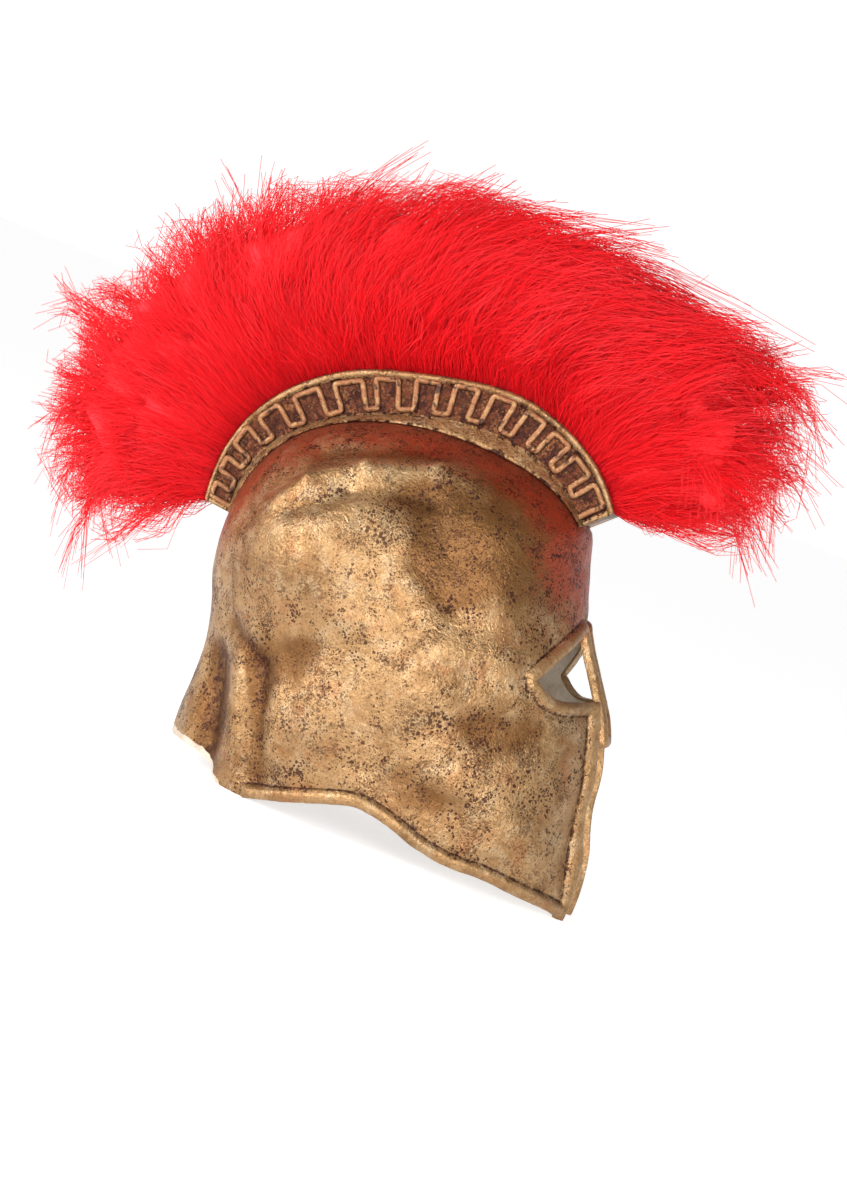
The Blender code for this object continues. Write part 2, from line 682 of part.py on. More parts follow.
def make_holder(parent, material):
    """The arched channel that carries the plume."""
    solid = Solid()
    angles, kinds = key_columns()
    rows = len(SIDE_ROWS) - 1
    last = len(angles) - 1
    left = add_holder_side(solid, 1, angles, kinds)
    right = add_holder_side(solid, -1, angles, kinds)
    underside = (-HOLDER_FOOT_HALF / 2, 0.0, HOLDER_FOOT_HALF / 2)

    def under(column, index):
        side = underside[index]
        radius = float(shell_radius(angles[column], side)) + HOLDER_GAP
        return solid.point(("under", column, index), arch_point(angles[column], radius, side))

    def lip(column, flank):
        rim = holder_levels(angles[column])[-1]
        return solid.point(("lip", column, flank),
                           arch_point(angles[column], rim, flank * CHANNEL_HALF))

    def floor(column, flank):
        radius = float(shell_radius(angles[column], 0.0)) + HOLDER_GAP + CHANNEL_FLOOR
        return solid.point(("floor", column, flank),
                           arch_point(angles[column], radius, flank * CHANNEL_HALF))

    for column in range(last):
        ahead = column + 1
        foot = [right(column, 0, False), *(under(column, i) for i in range(3)),
                left(column, 0, False)]
        foot_ahead = [right(ahead, 0, False), *(under(ahead, i) for i in range(3)),
                      left(ahead, 0, False)]
        for index in range(4):
            solid.faces.append([foot[index], foot[index + 1], foot_ahead[index + 1],
                                foot_ahead[index]])
        solid.faces.append([left(column, rows, True), left(ahead, rows, True),
                            lip(ahead, 1), lip(column, 1)])
        solid.faces.append([right(column, rows, True), right(ahead, rows, True),
                            lip(ahead, -1), lip(column, -1)])
        if column in (0, last - 1):
            solid.faces.append([lip(column, 1), lip(ahead, 1), lip(ahead, -1), lip(column, -1)])
        else:
            for flank in (1, -1):
                solid.faces.append([lip(column, flank), lip(ahead, flank),
                                    floor(ahead, flank), floor(column, flank)])
            solid.faces.append([floor(column, 1), floor(ahead, 1), floor(ahead, -1),
                                floor(column, -1)])
    for column in (1, last - 1):
        solid.faces.append([lip(column, 1), lip(column, -1), floor(column, -1),
                            floor(column, 1)])
    for column in (0, last):
        ring = [left(column, 0, False), left(column, 1, False)]
        ring += [left(column, row, True) for row in range(1, rows + 1)]
        ring += [lip(column, 1), lip(column, -1)]
        ring += [right(column, row, True) for row in range(rows, 0, -1)]
        ring += [right(column, 1, False), right(column, 0, False)]
        ring += [under(column, i) for i in range(3)]
        solid.faces.append(ring)
    local = to_local(np.array(solid.points))
    return make_object("crest_holder", local, solid.faces, material, parent)


def lock_ring(index, count):
    """One rib of the plume: a closed ring up one flank of a lock and down the other."""
    part = index / (count - 1)
    root = LOCKS[0].root + (LOCKS[-1].root - LOCKS[0].root) * part
    angle = math.radians(root)
    crest = index % 2 == 1
    reach = 1 + LOCK_WANDER * math.sin(index * LOCK_WANDER_TURN)
    reach += LOCK_NOTCH / 2 if crest else -LOCK_NOTCH / 2
    flute = 1.0 if crest else 1 - LOCK_FLUTE
    rim = float(read_curve(ARCH_CURVE, root))
    floor = float(shell_radius(angle, 0.0)) + HOLDER_GAP + CHANNEL_FLOOR + SEAT_GAP
    seat_half = CHANNEL_HALF - SEAT_GAP
    outward = Vector((math.cos(angle), math.sin(angle)))
    base = Vector(CREST_CENTRE) + outward * (rim + LOCK_ROOT_RISE)
    tip = Vector((float(read_curve(LOCK_CURVE, root)), float(read_curve(LOCK_CURVE, root, 2))))
    tip = base + (tip - base) * reach
    half = float(read_curve(LOCK_CURVE, root, 3)) * flute
    belly = base + outward * (tip - base).length * LOCK_BELLY
    flank = [arch_point(angle, floor, seat_half), arch_point(angle, rim + BACKING_RISE, seat_half)]
    flank.append((base.x, HOLDER_HALF + KEY_RISE, base.y))
    for stage in LOCK_STAGES:
        t = stage.along
        place = base * (1 - t) ** 2 + belly * 2 * t * (1 - t) + tip * t ** 2
        flank.append((place.x, half * stage.width, place.y))
    return flank + [(f, -s, u) for f, s, u in reversed(flank)]


def make_plume(parent, material):
    """Fur in locks, fused to the backing that sits in the holder's channel."""
    count = 2 * LOCK_COUNT + 1
    rings = [lock_ring(index, count) for index in range(count)]
    size = len(rings[0])
    points = [place for ring in rings for place in ring]
    faces = []
    for rib in range(count - 1):
        for corner in range(size):
            ahead = (corner + 1) % size
            faces.append([rib * size + corner, rib * size + ahead,
                          (rib + 1) * size + ahead, (rib + 1) * size + corner])
    for first in (0, (count - 1) * size):
        for corner in range(size // 2 - 1):
            faces.append([first + corner, first + corner + 1,
                          first + size - 2 - corner, first + size - 1 - corner])
    return make_object("plume", to_local(np.array(points)), faces, material, parent)


def main():
    for old in list(bpy.data.objects):
        bpy.data.objects.remove(old)
    stand = bpy.data.objects.new("helmet_stance", None)
    stand.matrix_world = helmet_matrix()
    bpy.context.scene.collection.objects.link(stand)
    bronze = make_material("antique_bronze_latex", (0.42, 0.25, 0.11), 0.45, 0.35)
    trim = make_material("bronze_latex_trim", (0.34, 0.18, 0.08), 0.45, 0.35)
    fur = make_material("red_fur", (0.80, 0.01, 0.02), 0.85, 0.0)
    make_shell(stand, bronze)
    make_holder(stand, trim)
    make_plume(stand, fur)


main()
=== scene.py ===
"""Looks of a crested costume helmet: painted latex shell, crest holder and fur plume."""
import math
from collections import namedtuple

import bmesh
import bpy
import numpy as np
from bpy.props import FloatProperty, FloatVectorProperty, IntProperty, PointerProperty
from mathutils import Matrix, Vector


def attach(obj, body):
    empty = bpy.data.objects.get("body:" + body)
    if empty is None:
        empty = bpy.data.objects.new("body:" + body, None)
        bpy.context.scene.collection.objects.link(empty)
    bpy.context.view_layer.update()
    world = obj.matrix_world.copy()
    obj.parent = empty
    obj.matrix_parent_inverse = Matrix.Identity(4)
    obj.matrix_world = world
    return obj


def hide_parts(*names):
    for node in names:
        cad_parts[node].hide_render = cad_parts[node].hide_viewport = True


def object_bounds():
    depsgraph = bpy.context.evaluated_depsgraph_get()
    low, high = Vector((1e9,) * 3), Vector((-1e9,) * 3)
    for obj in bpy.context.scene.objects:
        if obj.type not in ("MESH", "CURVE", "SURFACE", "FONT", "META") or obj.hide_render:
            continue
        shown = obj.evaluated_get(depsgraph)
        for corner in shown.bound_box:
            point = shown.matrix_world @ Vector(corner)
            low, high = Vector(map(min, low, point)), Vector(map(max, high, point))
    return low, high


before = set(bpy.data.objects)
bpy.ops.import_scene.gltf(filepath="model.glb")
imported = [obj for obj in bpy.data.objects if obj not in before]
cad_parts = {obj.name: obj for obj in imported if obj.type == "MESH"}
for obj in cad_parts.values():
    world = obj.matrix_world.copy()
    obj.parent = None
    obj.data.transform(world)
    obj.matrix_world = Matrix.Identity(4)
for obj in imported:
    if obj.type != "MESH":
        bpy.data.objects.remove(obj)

bl_info = {
    "name": "Crested Helmet",
    "version": (1, 0, 0),
    "blender": (4, 5, 0),
    "location": "3D View > Sidebar > Helmet",
    "description": "Builds the painted shell, the crest holder and the fur plume of a costume helmet",
    "category": "Object",
}

CAD_BOX = [list(corner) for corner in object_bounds()]
BODY = "root"


def table(name, columns, *rows):
    """Rows of named values."""
    row = namedtuple(name, columns)
    return tuple(row(*values) for values in rows)


# Stance: the helmet leans back by an angle about the side axis, then stands on the ground.
# Whatever is lower than the flat of its feet is pressed onto the ground.
REST_LEAN = 22.25
REST_RISE = 0.1391
REST_BACK = -0.0379
FOOT_FLAT = 0.0012

# Horizontal sections of the shell, from the cheek tips to the crown, in metres: places on
# the middle plane, half width, where the section is widest, and the oval's two powers.
SECTIONS = table(
    "Section", "up front rear half_width widest front_power rear_power",
    (-0.1900, 0.0858, -0.1600, 0.0530, -0.0100, 2.10, 1.70),
    (-0.1700, 0.0902, -0.1600, 0.0650, -0.0120, 2.10, 1.70),
    (-0.1500, 0.0908, -0.1600, 0.0760, -0.0140, 2.10, 1.70),
    (-0.1300, 0.0945, -0.1590, 0.0845, -0.0160, 2.10, 1.70),
    (-0.1100, 0.0985, -0.1570, 0.0890, -0.0180, 2.10, 1.70),
    (-0.0900, 0.1005, -0.1535, 0.0915, -0.0180, 2.10, 1.70),
    (-0.0750, 0.1018, -0.1500, 0.0928, -0.0180, 2.10, 1.75),
    (-0.0600, 0.1020, -0.1445, 0.0940, -0.0180, 2.10, 1.80),
    (-0.0450, 0.1005, -0.1375, 0.0952, -0.0180, 2.10, 1.85),
    (-0.0300, 0.0978, -0.1315, 0.0960, -0.0180, 2.10, 1.90),
    (-0.0150, 0.0960, -0.1268, 0.0964, -0.0180, 2.10, 1.95),
    (0.0000, 0.0960, -0.1245, 0.0965, -0.0180, 2.10, 2.00),
    (0.0200, 0.0970, -0.1225, 0.0965, -0.0190, 2.10, 2.10),
    (0.0400, 0.0978, -0.1175, 0.0935, -0.0200, 2.10, 2.10),
    (0.0580, 0.0875, -0.1100, 0.0870, -0.0220, 2.05, 2.10),
    (0.0740, 0.0690, -0.1010, 0.0755, -0.0235, 2.00, 2.05),
    (0.0870, 0.0450, -0.0895, 0.0600, -0.0255, 2.00, 2.00),
    (0.0965, 0.0220, -0.0765, 0.0430, -0.0280, 2.00, 2.00),
    (0.1025, 0.0010, -0.0625, 0.0260, -0.0300, 2.00, 2.00),
    (0.1055, -0.0160, -0.0480, 0.0110, -0.0310, 2.00, 2.00),
    (0.1063, -0.0310, -0.0310, 0.0000, -0.0310, 2.00, 2.00))

# Lower edge of the shell round one side: azimuth from the front, and height.
HEM = table(
    "Hem", "azimuth up",
    (0, -0.187), (14, -0.1852), (30, -0.1775), (45, -0.1685), (58, -0.1575), (69, -0.15),
    (78, -0.1395), (85, -0.127), (91, -0.1185), (98, -0.1152), (118, -0.1138), (130, -0.11),
    (141, -0.0975), (151, -0.0835), (165, -0.078), (180, -0.0755))
# The raw hem of the nape: the azimuth that it starts from, and how high up it has no rim;
# and the azimuth in front that the hem's rim starts from.
RAW_HEM_FROM = 126.0
RAW_HEM_DEPTH = 0.030
HEM_RIM_FROM = 13.0
# Points along the rimmed edges: the hem, the slit, each edge of the eye and of the nasal bar,
# and the bar's tip.
HEM_STEPS = 400
SLIT_STEPS = 160
EYE_STEPS = 90
TIP_STEPS = 12

# The almond eye opening: its upper and lower edge, from the nose outwards.
EYE_TOP = table(
    "Lid", "side up",
    (0.0, -0.0195), (0.01, -0.02), (0.014, -0.0212), (0.028, -0.0262), (0.044, -0.0335),
    (0.055, -0.0405), (0.0605, -0.0455))
EYE_FLOOR = table(
    "Lid", "side up",
    (0.013, -0.0585), (0.03, -0.0585), (0.043, -0.058), (0.05, -0.0565), (0.056, -0.0525),
    (0.0605, -0.0455))

# Half widths down the face, of the slit between the cheek plates and of the nasal bar,
# and how far the bar and the cheek plates' front edges flare forward.
FACE = table(
    "Face", "up slit_half nasal_half nasal_lift cheek_flare",
    (-0.19, 0.0165, 0.012, 0.0065, -0.001), (-0.17, 0.015, 0.012, 0.0065, 0.0012),
    (-0.15, 0.0138, 0.012, 0.0065, 0.0055), (-0.133, 0.014, 0.012, 0.0065, 0.0028),
    (-0.119, 0.0142, 0.012, 0.0065, 0.0015), (-0.1, 0.014, 0.012, 0.0065, 0.004),
    (-0.085, 0.0146, 0.0119, 0.0062, 0.004), (-0.07, 0.015, 0.0114, 0.0048, 0.0042),
    (-0.06, 0.0155, 0.0106, 0.0028, 0.0045), (-0.05, 0.0155, 0.0098, 0.0014, 0.004),
    (-0.04, 0.0155, 0.0095, 0.0006, 0.0), (-0.02, 0.0155, 0.01, 0.0, 0.0),
    (0.0, 0.0155, 0.01, 0.0, 0.0))
# How far from the slit the cheeks' flare reaches, and how it fades; and the nasal bar's tip:
# its height, the height of its rounded corners, and how far they go round.
FLARE_REACH = 0.0095
FLARE_POWER = 1.3
NASAL_TIP_UP = -0.0855
NASAL_TIP_CORNER = 0.0045
NASAL_TIP_TURN = 0.9

# Raised rim along an edge: distance from the edge, rise of the outer face, and how much
# dark paint lies there.
RIM = table(
    "Rim", "distance rise dark",
    (0.0, 0.0004, 0.0), (0.0006, 0.0014, 0.0), (0.0016, 0.0022, 0.0), (0.003, 0.0026, 0.0),
    (0.0046, 0.0025, 0.0), (0.006, 0.002, 0.05), (0.007, 0.0011, 0.2), (0.0078, 0.0, 0.8),
    (0.0084, -0.0007, 1.0), (0.0092, -0.0006, 0.5), (0.0112, -0.0002, 0.15), (0.016, 0.0, 0.1),
    (0.022, 0.0, 0.0), (1.0, 0.0, 0.0))
# Distances from a rimmed edge where lines of the grid run.
RIM_LINES = (0.0, 0.0006, 0.0014, 0.0024, 0.0036, 0.0048, 0.0058, 0.0067, 0.0075, 0.0083,
             0.0092, 0.0103, 0.0117)

# Soft dents, folds and swellings: place and reach on the flank, turn of the long reach from
# forward towards up, and rise. Flank is 1 for the wearer's left, -1 right, 0 both.
DENTS = table(
    "Dent", "forward up flank long_reach short_reach turn rise",
    (-0.056, 0.030, 0, 0.036, 0.030, 15, 0.0080),
    (0.026, 0.036, -1, 0.040, 0.017, -62, -0.0058),
    (0.030, 0.040, 1, 0.030, 0.018, -40, -0.0030),
    (-0.066, -0.034, -1, 0.030, 0.018, 30, -0.0050),
    (-0.055, -0.020, 1, 0.034, 0.022, 10, -0.0025),
    (-0.098, -0.060, 0, 0.038, 0.009, 88, 0.0034),
    (-0.112, -0.062, 0, 0.040, 0.012, 80, -0.0040),
    (0.018, -0.116, -1, 0.034, 0.012, -30, -0.0048),
    (0.071, -0.145, 0, 0.034, 0.017, -40, 0.0052),
    (0.050, -0.076, -1, 0.032, 0.018, 10, -0.0026),
    (0.010, -0.050, -1, 0.030, 0.020, 60, 0.0042),
    (-0.040, -0.070, -1, 0.022, 0.020, 20, 0.0032),
    (0.056, 0.004, -1, 0.020, 0.030, 0, 0.0024),
    (0.000, -0.070, 1, 0.040, 0.026, 40, 0.0025))

# Long folds on the flanks, each along a short line, with the spread and rise of its hill.
FOLDS = table(
    "Fold", "forward up to_forward to_up flank width rise",
    (-0.070, 0.054, -0.051, 0.068, 0, 0.0045, 0.0028),
    (-0.051, 0.068, -0.020, 0.075, 0, 0.0042, 0.0030),
    (-0.018, 0.075, 0.020, 0.073, 0, 0.0042, 0.0030),
    (0.022, 0.073, 0.048, 0.062, 0, 0.0048, 0.0026),
    (-0.060, 0.050, -0.030, 0.060, 0, 0.0050, -0.0026),
    (-0.028, 0.062, 0.020, 0.058, 0, 0.0055, -0.0030),
    (-0.050, 0.084, 0.028, 0.088, 0, 0.0060, -0.0034),
    (-0.119, -0.030, -0.124, -0.094, 0, 0.0085, -0.0080),
    (-0.100, -0.012, -0.086, -0.034, 0, 0.0060, -0.0034),
    (-0.084, -0.040, -0.085, -0.100, 0, 0.0070, -0.0040),
    (-0.070, -0.036, -0.071, -0.088, -1, 0.0060, 0.0014),
    (0.025, -0.026, 0.058, -0.034, -1, 0.0080, 0.0018),
    (0.048, -0.072, 0.070, -0.078, -1, 0.0120, -0.0020),
    (0.000, -0.106, 0.030, -0.128, -1, 0.0070, 0.0014),
    (-0.045, 0.004, -0.018, -0.018, -1, 0.0080, 0.0014),
    (0.010, 0.020, 0.030, -0.004, -1, 0.0090, -0.0018))

# Uneven skin of the cast latex: size of the lumps, their height, and the noise's seed.
LUMPS = ((0.042, 0.00120, 3), (0.015, 0.00026, 5), (0.0060, 0.00014, 7), (0.0032, 0.00009, 9))
# The cut lip along the raw hem: its height, and the azimuth where it has that height.
RAW_LIP = 0.0036
RAW_LIP_FULL = 146.0
# Painted shade in the dents, darker by their depth: the depths that take all of the dark paint and of
# the brown, and how much dark paint that is.
CREASE_DEPTH = 0.0068
VALLEY_DEPTH = 0.0040
VALLEY_PAINT = 0.72
# Where the rims' clean gold gives way to sponged paint.
BEAD_PAINT = (0.0055, 0.0075)
# Painted shade: broad places of the flank and nape darkened with the brown: forward, up, size and how
# much.
SHADE_PATCHES = table(
    "ShadePatch", "forward up size amount",
    (0.036, 0.028, 0.022, 0.34), (0.0, -0.073, 0.034, 0.24), (-0.108, -0.064, 0.013, 0.36),
    (-0.092, -0.04, 0.02, 0.16), (-0.07, 0.06, 0.018, 0.18))
# The swellings carry fewer dark dots, as rubbed wear and partly as a painted highlight where they catch
# the light:
# how high one is when it is as clean as it gets, and that.
RUBBED_AND_LIT_RISE = 0.0070
RUBBED_AND_LIT_CLEAN = 0.55
# How far the paint goes round onto the inner face.
PAINTED_EDGE = (0.0005, 0.0030)
# Painted reflection of the red plume, beside the holder: how far it reaches beside the holder's foot,
# and the heights where it fades in.
RED_REACH = 0.060
RED_FRONT = (-0.045, 0.020)
RED_REAR = (0.005, 0.060)

# Brown laid over the side of the brow, darker towards the front and the top: its strength, and where it
# fades in forwards and upwards; and how much brown lies in the dents as painted shade, by their depth.
BROW_SHADE = 0.72
BROW_FORWARD = (0.000, 0.060)
BROW_UP = (-0.030, 0.010)
VALLEY_SHADE = 0.72

# Columns and rows of the shell's patches, the rise of the line where they meet behind the
# eye, and the steps and the range of the searches on its face.
FACE_COLUMNS = 12
FLANK_COLUMNS = 96
BROW_COLUMNS = 26
CHEEK_ROWS = 52
CROWN_ROWS = 62
NASAL_ROWS = 22
NASAL_PARTS = tuple(part / 12 for part in range(13))
WATERLINE_RISE = 0.030
SEARCH_STEPS = 30
SHELL_RADIUS_LEAST = 0.06
SHELL_RADIUS_MOST = 0.16
# Steps of a smooth curve from one row of its table to the next, and the small steps that
# slopes are measured over: upwards in metres, and round in radians.
CURVE_STEPS = 40
SLOPE_STEP = 0.0004
TURN_STEP = 0.01

# Crest holder: an arch round a centre on the middle plane. Each row gives the angle up
# from forward and the radius of the channel's rim.
CREST_CENTRE = (-0.014, 0.0)
ARCH = table(
    "Arch", "angle rim",
    (20.0, 0.1378), (32.0, 0.1412), (45.0, 0.1412), (55.0, 0.14), (64.0, 0.137), (74.0, 0.1335),
    (84.0, 0.1325), (94.0, 0.1345), (106.0, 0.1372), (118.0, 0.1385), (128.0, 0.138),
    (138.0, 0.1348), (146.0, 0.1308), (152.5, 0.1272))
# The holder's first and last angle; half widths of its sides, its foot and its channel; how
# far the channel's floor lies above the shell; the angle that an end wall takes; and the gap
# below the foot.
HOLDER_FRONT = 21.0
HOLDER_REAR = 152.4
HOLDER_HALF = 0.0195
HOLDER_FOOT_HALF = 0.0245
CHANNEL_HALF = 0.0165
CHANNEL_FLOOR = 0.0030
HOLDER_END_WALL = 1.5
HOLDER_GAP = 0.0005
# The raised line: parts of the height where its two ends lie and that it keeps above the foot;
# the length of a step along it; its sides; and the size and reach of its unevenness.
KEY_FOOT = 0.10
KEY_FOOT_GAP = 0.075
KEY_STEP = 0.0009
KEY_SIDES = 10
KEY_WAVE = 0.007
KEY_UNEVEN = 0.0009
# The holder's grid, the rounding of its ends, and the height of its uneven skin.
HOLDER_COLUMNS = 230
HOLDER_END_STEPS = 5
HOLDER_END_ROUND = 0.0016
HOLDER_WOBBLE = 0.00022
# Its lumps: their size, and the noise's seed.
HOLDER_LUMPS = ((0.0060, 21), (0.0022, 22))
# Parts of the foot's half width that its underside goes through.
UNDER_PARTS = (0.0, 0.4, 0.8)
# The sunk field: how many degrees from an end it starts and is full, and the part of the height
# where it begins; and the channel's lip: how far it drops inwards, and its dark paint.
FIELD_END = (0.9, 1.7)
FIELD_FLOOR = 0.175
LIP_DROP = 0.0004
LIP_DARK = 0.3

# The raised square wave: angles of each arch's two legs, and the parts of the holder's
# height where it starts and ends.
KEYS = table(
    "Key", "front rear low high",
    (23.8, 29.5, 0.2, 0.78), (32.1, 37.8, 0.3, 0.77), (40.6, 45.7, 0.36, 0.81),
    (48.9, 54.0, 0.37, 0.83), (57.7, 63.4, 0.37, 0.85), (67.5, 73.4, 0.35, 0.87),
    (77.8, 83.8, 0.31, 0.86), (88.7, 94.7, 0.27, 0.82), (98.3, 105.6, 0.24, 0.78),
    (109.9, 116.7, 0.22, 0.78), (121.0, 127.0, 0.26, 0.8), (130.5, 136.0, 0.31, 0.84),
    (139.6, 143.5, 0.31, 0.81), (146.7, 150.6, 0.26, 0.81))

# The holder's side from its foot to its rim: part of the height, half width, and how much
# dark paint lies there.
BAND = table(
    "Band", "height half dark",
    (0.0, 0.0244, 0.7), (0.015, 0.0246, 0.35), (0.045, 0.024, 0.05), (0.11, 0.0217, 0.0),
    (0.15, 0.0202, 0.15), (0.175, 0.0197, 0.7), (0.23, 0.0195, 1.0), (0.5, 0.0195, 1.0),
    (0.78, 0.0195, 1.0), (0.825, 0.0195, 0.8), (0.85, 0.0199, 0.3), (0.88, 0.0209, 0.0),
    (0.915, 0.0214, 0.0), (0.955, 0.0213, 0.0), (0.985, 0.0205, 0.05), (1.0, 0.019, 0.1))

# Plume: where a lock is rooted on the arch, where its tip lies, and how wide it grows.
LOCKS = table(
    "Lock", "root tip_forward tip_up half_width",
    (22.8, 0.202, 0.03, 0.02), (26.0, 0.222, 0.062, 0.031), (31.0, 0.225, 0.1, 0.036),
    (37.0, 0.203, 0.139, 0.039), (44.0, 0.167, 0.164, 0.041), (52.0, 0.131, 0.187, 0.042),
    (60.0, 0.096, 0.209, 0.042), (68.0, 0.06, 0.23, 0.042), (77.0, 0.022, 0.238, 0.042),
    (87.0, -0.02, 0.237, 0.042), (97.0, -0.062, 0.243, 0.042), (107.0, -0.104, 0.237, 0.042),
    (116.0, -0.145, 0.221, 0.042), (125.0, -0.181, 0.193, 0.041), (133.0, -0.21, 0.16, 0.04),
    (140.0, -0.225, 0.123, 0.037), (146.0, -0.228, 0.084, 0.032), (150.4, -0.215, 0.044, 0.02))
# How far out a lock bellies, in parts of its length, and how far above the rim it starts.
LOCK_BELLY = 0.45
LOCK_ROOT_RISE = 0.0025
# Widths up a lock: how far along it, and part of its full half width.
LOCK_STAGES = table(
    "Stage", "along width",
    (0.0, 0.42), (0.1, 0.66), (0.3, 0.88), (0.55, 1.0), (0.78, 0.8), (0.92, 0.48), (1.0, 0.14),
    (1.12, 0.02))
# Where the fur is seated: half width, and depth below the rim; and the undercoat's grid, reach
# and width in parts of the plume's, and how strongly it follows the shorter locks.
ROOT_HALF = 0.0140
ROOT_DEPTH = 0.004
UNDERCOAT_COLUMNS = 190
UNDERCOAT_ROWS = 30
UNDERCOAT_REACH = 0.72
UNDERCOAT_TRIM = 2.0
UNDERCOAT_WIDTH = 0.91
# Uneven skin of the undercoat: size of the ruffles, their height sideways, and the noise's
# seed; and the same for its ragged outer end.
RUFFLES = ((0.018, 0.0022, 31), (0.007, 0.0012, 32))
RAGGED = (0.012, 0.010, 33)
# How far out the ruffles and the ragged end begin, and how finely the colour is combed, along
# the arch and outwards.
RUFFLED_FROM = 0.05
RAGGED_FROM = 0.5
COMBED = (2.2, 2.0)
# Crown of the undercoat: parts of its width and of its reach, from its side to its middle.
UNDERCOAT_CROWN = ((0.82, 1.045), (0.52, 1.080), (0.20, 1.095))

# Layers of locks: share of all the locks, first and last root angle, least and most across,
# how far out they start, least and most reach, how far the tips scatter and droop, how far
# the middle sags, and a lock's half width. Those that start further out grow from within
# the undercoat.
LAYERS = table(
    "Layer", "share first last across_low across_high start reach_low reach_high scatter droop "
             "sag spread",
    (0.190, 23.0, 150.2, 0.93, 1.06, 0.00, 0.42, 0.80, 0.0030, 0.002, 0.000, 0.0060),
    (0.240, 23.0, 150.2, 0.90, 1.05, 0.00, 0.76, 0.97, 0.0045, 0.003, 0.000, 0.0065),
    (0.240, 24.0, 149.5, 0.72, 1.04, 0.46, 0.84, 0.99, 0.0060, 0.002, 0.000, 0.0075),
    (0.140, 24.0, 149.0, 0.00, 0.72, 0.52, 0.86, 1.01, 0.0070, 0.002, 0.000, 0.0075),
    (0.050, 22.8, 26.0, 0.00, 1.00, 0.00, 0.35, 0.90, 0.0060, 0.004, 0.011, 0.0060),
    (0.035, 147.0, 150.4, 0.00, 1.00, 0.00, 0.35, 0.90, 0.0060, 0.006, 0.008, 0.0060),
    (0.065, 26.0, 149.0, 0.00, 0.95, 0.60, 1.00, 1.14, 0.0110, 0.016, 0.000, 0.0050),
    (0.028, 23.0, 33.0, 0.00, 0.90, 0.30, 0.60, 1.04, 0.0120, 0.066, 0.000, 0.0035),
    (0.022, 141.0, 150.4, 0.00, 0.90, 0.40, 0.70, 1.05, 0.0120, 0.050, 0.000, 0.0035))
# By root angle: how far in degrees along the arch a lock leans by its tip and arches at its
# middle, and the part of its reach that it keeps.
FLOW = table(
    "Flow", "root lean arch kept",
    (20, 1, -1, 0.95), (27, 0, 1, 0.94), (34, -2, 4, 0.92), (40, -8, 6, 0.91), (50, -18, 7, 0.92),
    (62, -27, 4, 0.95), (76, -31, 1, 1.0), (95, -23, 0, 1.0), (110, -13, 0, 1.0), (125, -5, 0, 1.0),
    (140, 0, 0, 0.97), (152, -1, 0, 0.96))
# How unevenly the locks lean, in degrees, and the largest part of its row's arch that one has.
LEAN_SCATTER = 2.0
ARCH_MOST = 1.6
# Waves that neighbouring locks share, and smaller tufts that cross each other: size, seed,
# how much of it goes sideways, and how far it moves the tips.
Waves = namedtuple("Waves", "size seed sideways reach")
WAVES = Waves(0.055, 41, 0.5, 0.0120)
TUFTS = Waves(0.021, 46, 0.4, 0.0115)
# How far each lock bends by itself, and how that grows with the scatter of its layer; and the
# shares that go forward, sideways and up.
BEND_REACH = 0.009
BEND_SCATTER = 0.5
BEND_SHARES = (1.0, 0.5, 1.0)
WANDER_SHARES = (1.0, 0.7, 1.0)
# The part of a lock's sag that it has at a third of its length.
SAG_START = 0.75
# A lock's width, in parts of its layer's. Its tone goes from 0 for deep red to 1 for pale: how
# far patches of locks and single locks stray from the middle, and the patches' size and seed.
LOCK_WIDTHS = (0.7, 1.4)
TONE_PATCHES = 0.35
TONE_SCATTER = 0.16
TONE_NOISE = (0.020, 44)
# How much paler a lock is for each degree further back: painted light, the rear of the plume paler
# towards the key light and the front deeper red.
PALER_REARWARD = 0.003
FIBRE_POINTS = 5
# Values that a lock's guide hands to its fibres.
GUIDE_VALUES = ("root", "handle_a", "handle_b", "tip", "spread", "tone")
# Part of the light that a fibre lets through.
FIBRE_GLOW = 0.50
FIBRE_SIDES = 3
# The shortest fibre, in parts of its lock, and how far its tone strays from the lock's.
FIBRE_SHORTEST = 0.70
FIBRE_TONE = 0.22
# How full a lock is at its root, how that grows towards its tip and swells halfway, and the
# shares of its fullness forward, sideways and up.
FULL_AT_ROOT = 0.15
FULL_GROWTH = 0.62
FULL_SWELLING = 1.9
FULL_SHARES = (0.4, 1, 1)
# How much a fibre thins towards its tip, and how late.
TAPER = 0.82
TAPER_POWER = 1.6
# Turns the wave's own height, at most a tenth, into one.
CURL_SCALE = 10.4
# Room that the guides leave for straying fibres, inside the part's box grown by 3 % and 10 mm.
STRAY_ROOM = 0.009
FUR_PIECES = ("plume_fur_front", "plume_fur_front_top", "plume_fur_rear_top", "plume_fur_rear")

# Pale gold of a painted highlight, laid in random patches by the coat named lit, against the gold of
# the settings.
LIT_GOLD = (1.25, 1.5, 1.9)
STAINED_LATEX = (0.40, 0.31, 0.22)
# Glazes over the gold, and patches of painted highlight in the lit coat: the colour, the noise that
# places it, and the part of the noise where it starts and is full, with its strength there.
COATS = table(
    "Coat", "colour size detail roughness distortion shift low high amount",
    ("brown", 0.0340, 4.0, 0.60, 0.6, (0.0, 0.0, 0.0), 0.42, 0.72, 0.62),
    ("brown", 0.0065, 3.0, 0.65, 0.8, (3.1, 0.4, 1.7), 0.48, 0.72, 0.42),
    ("lit", 0.0120, 3.0, 0.60, 0.5, (7.3, 2.2, 5.1), 0.44, 0.70, 0.60),
    ("copper", 0.0180, 3.0, 0.60, 0.5, (1.9, 6.4, 3.3), 0.50, 0.72, 0.40),
    ("brown", 0.0016, 2.0, 0.70, 0.5, (5.5, 3.9, 2.8), 0.50, 0.66, 0.45))
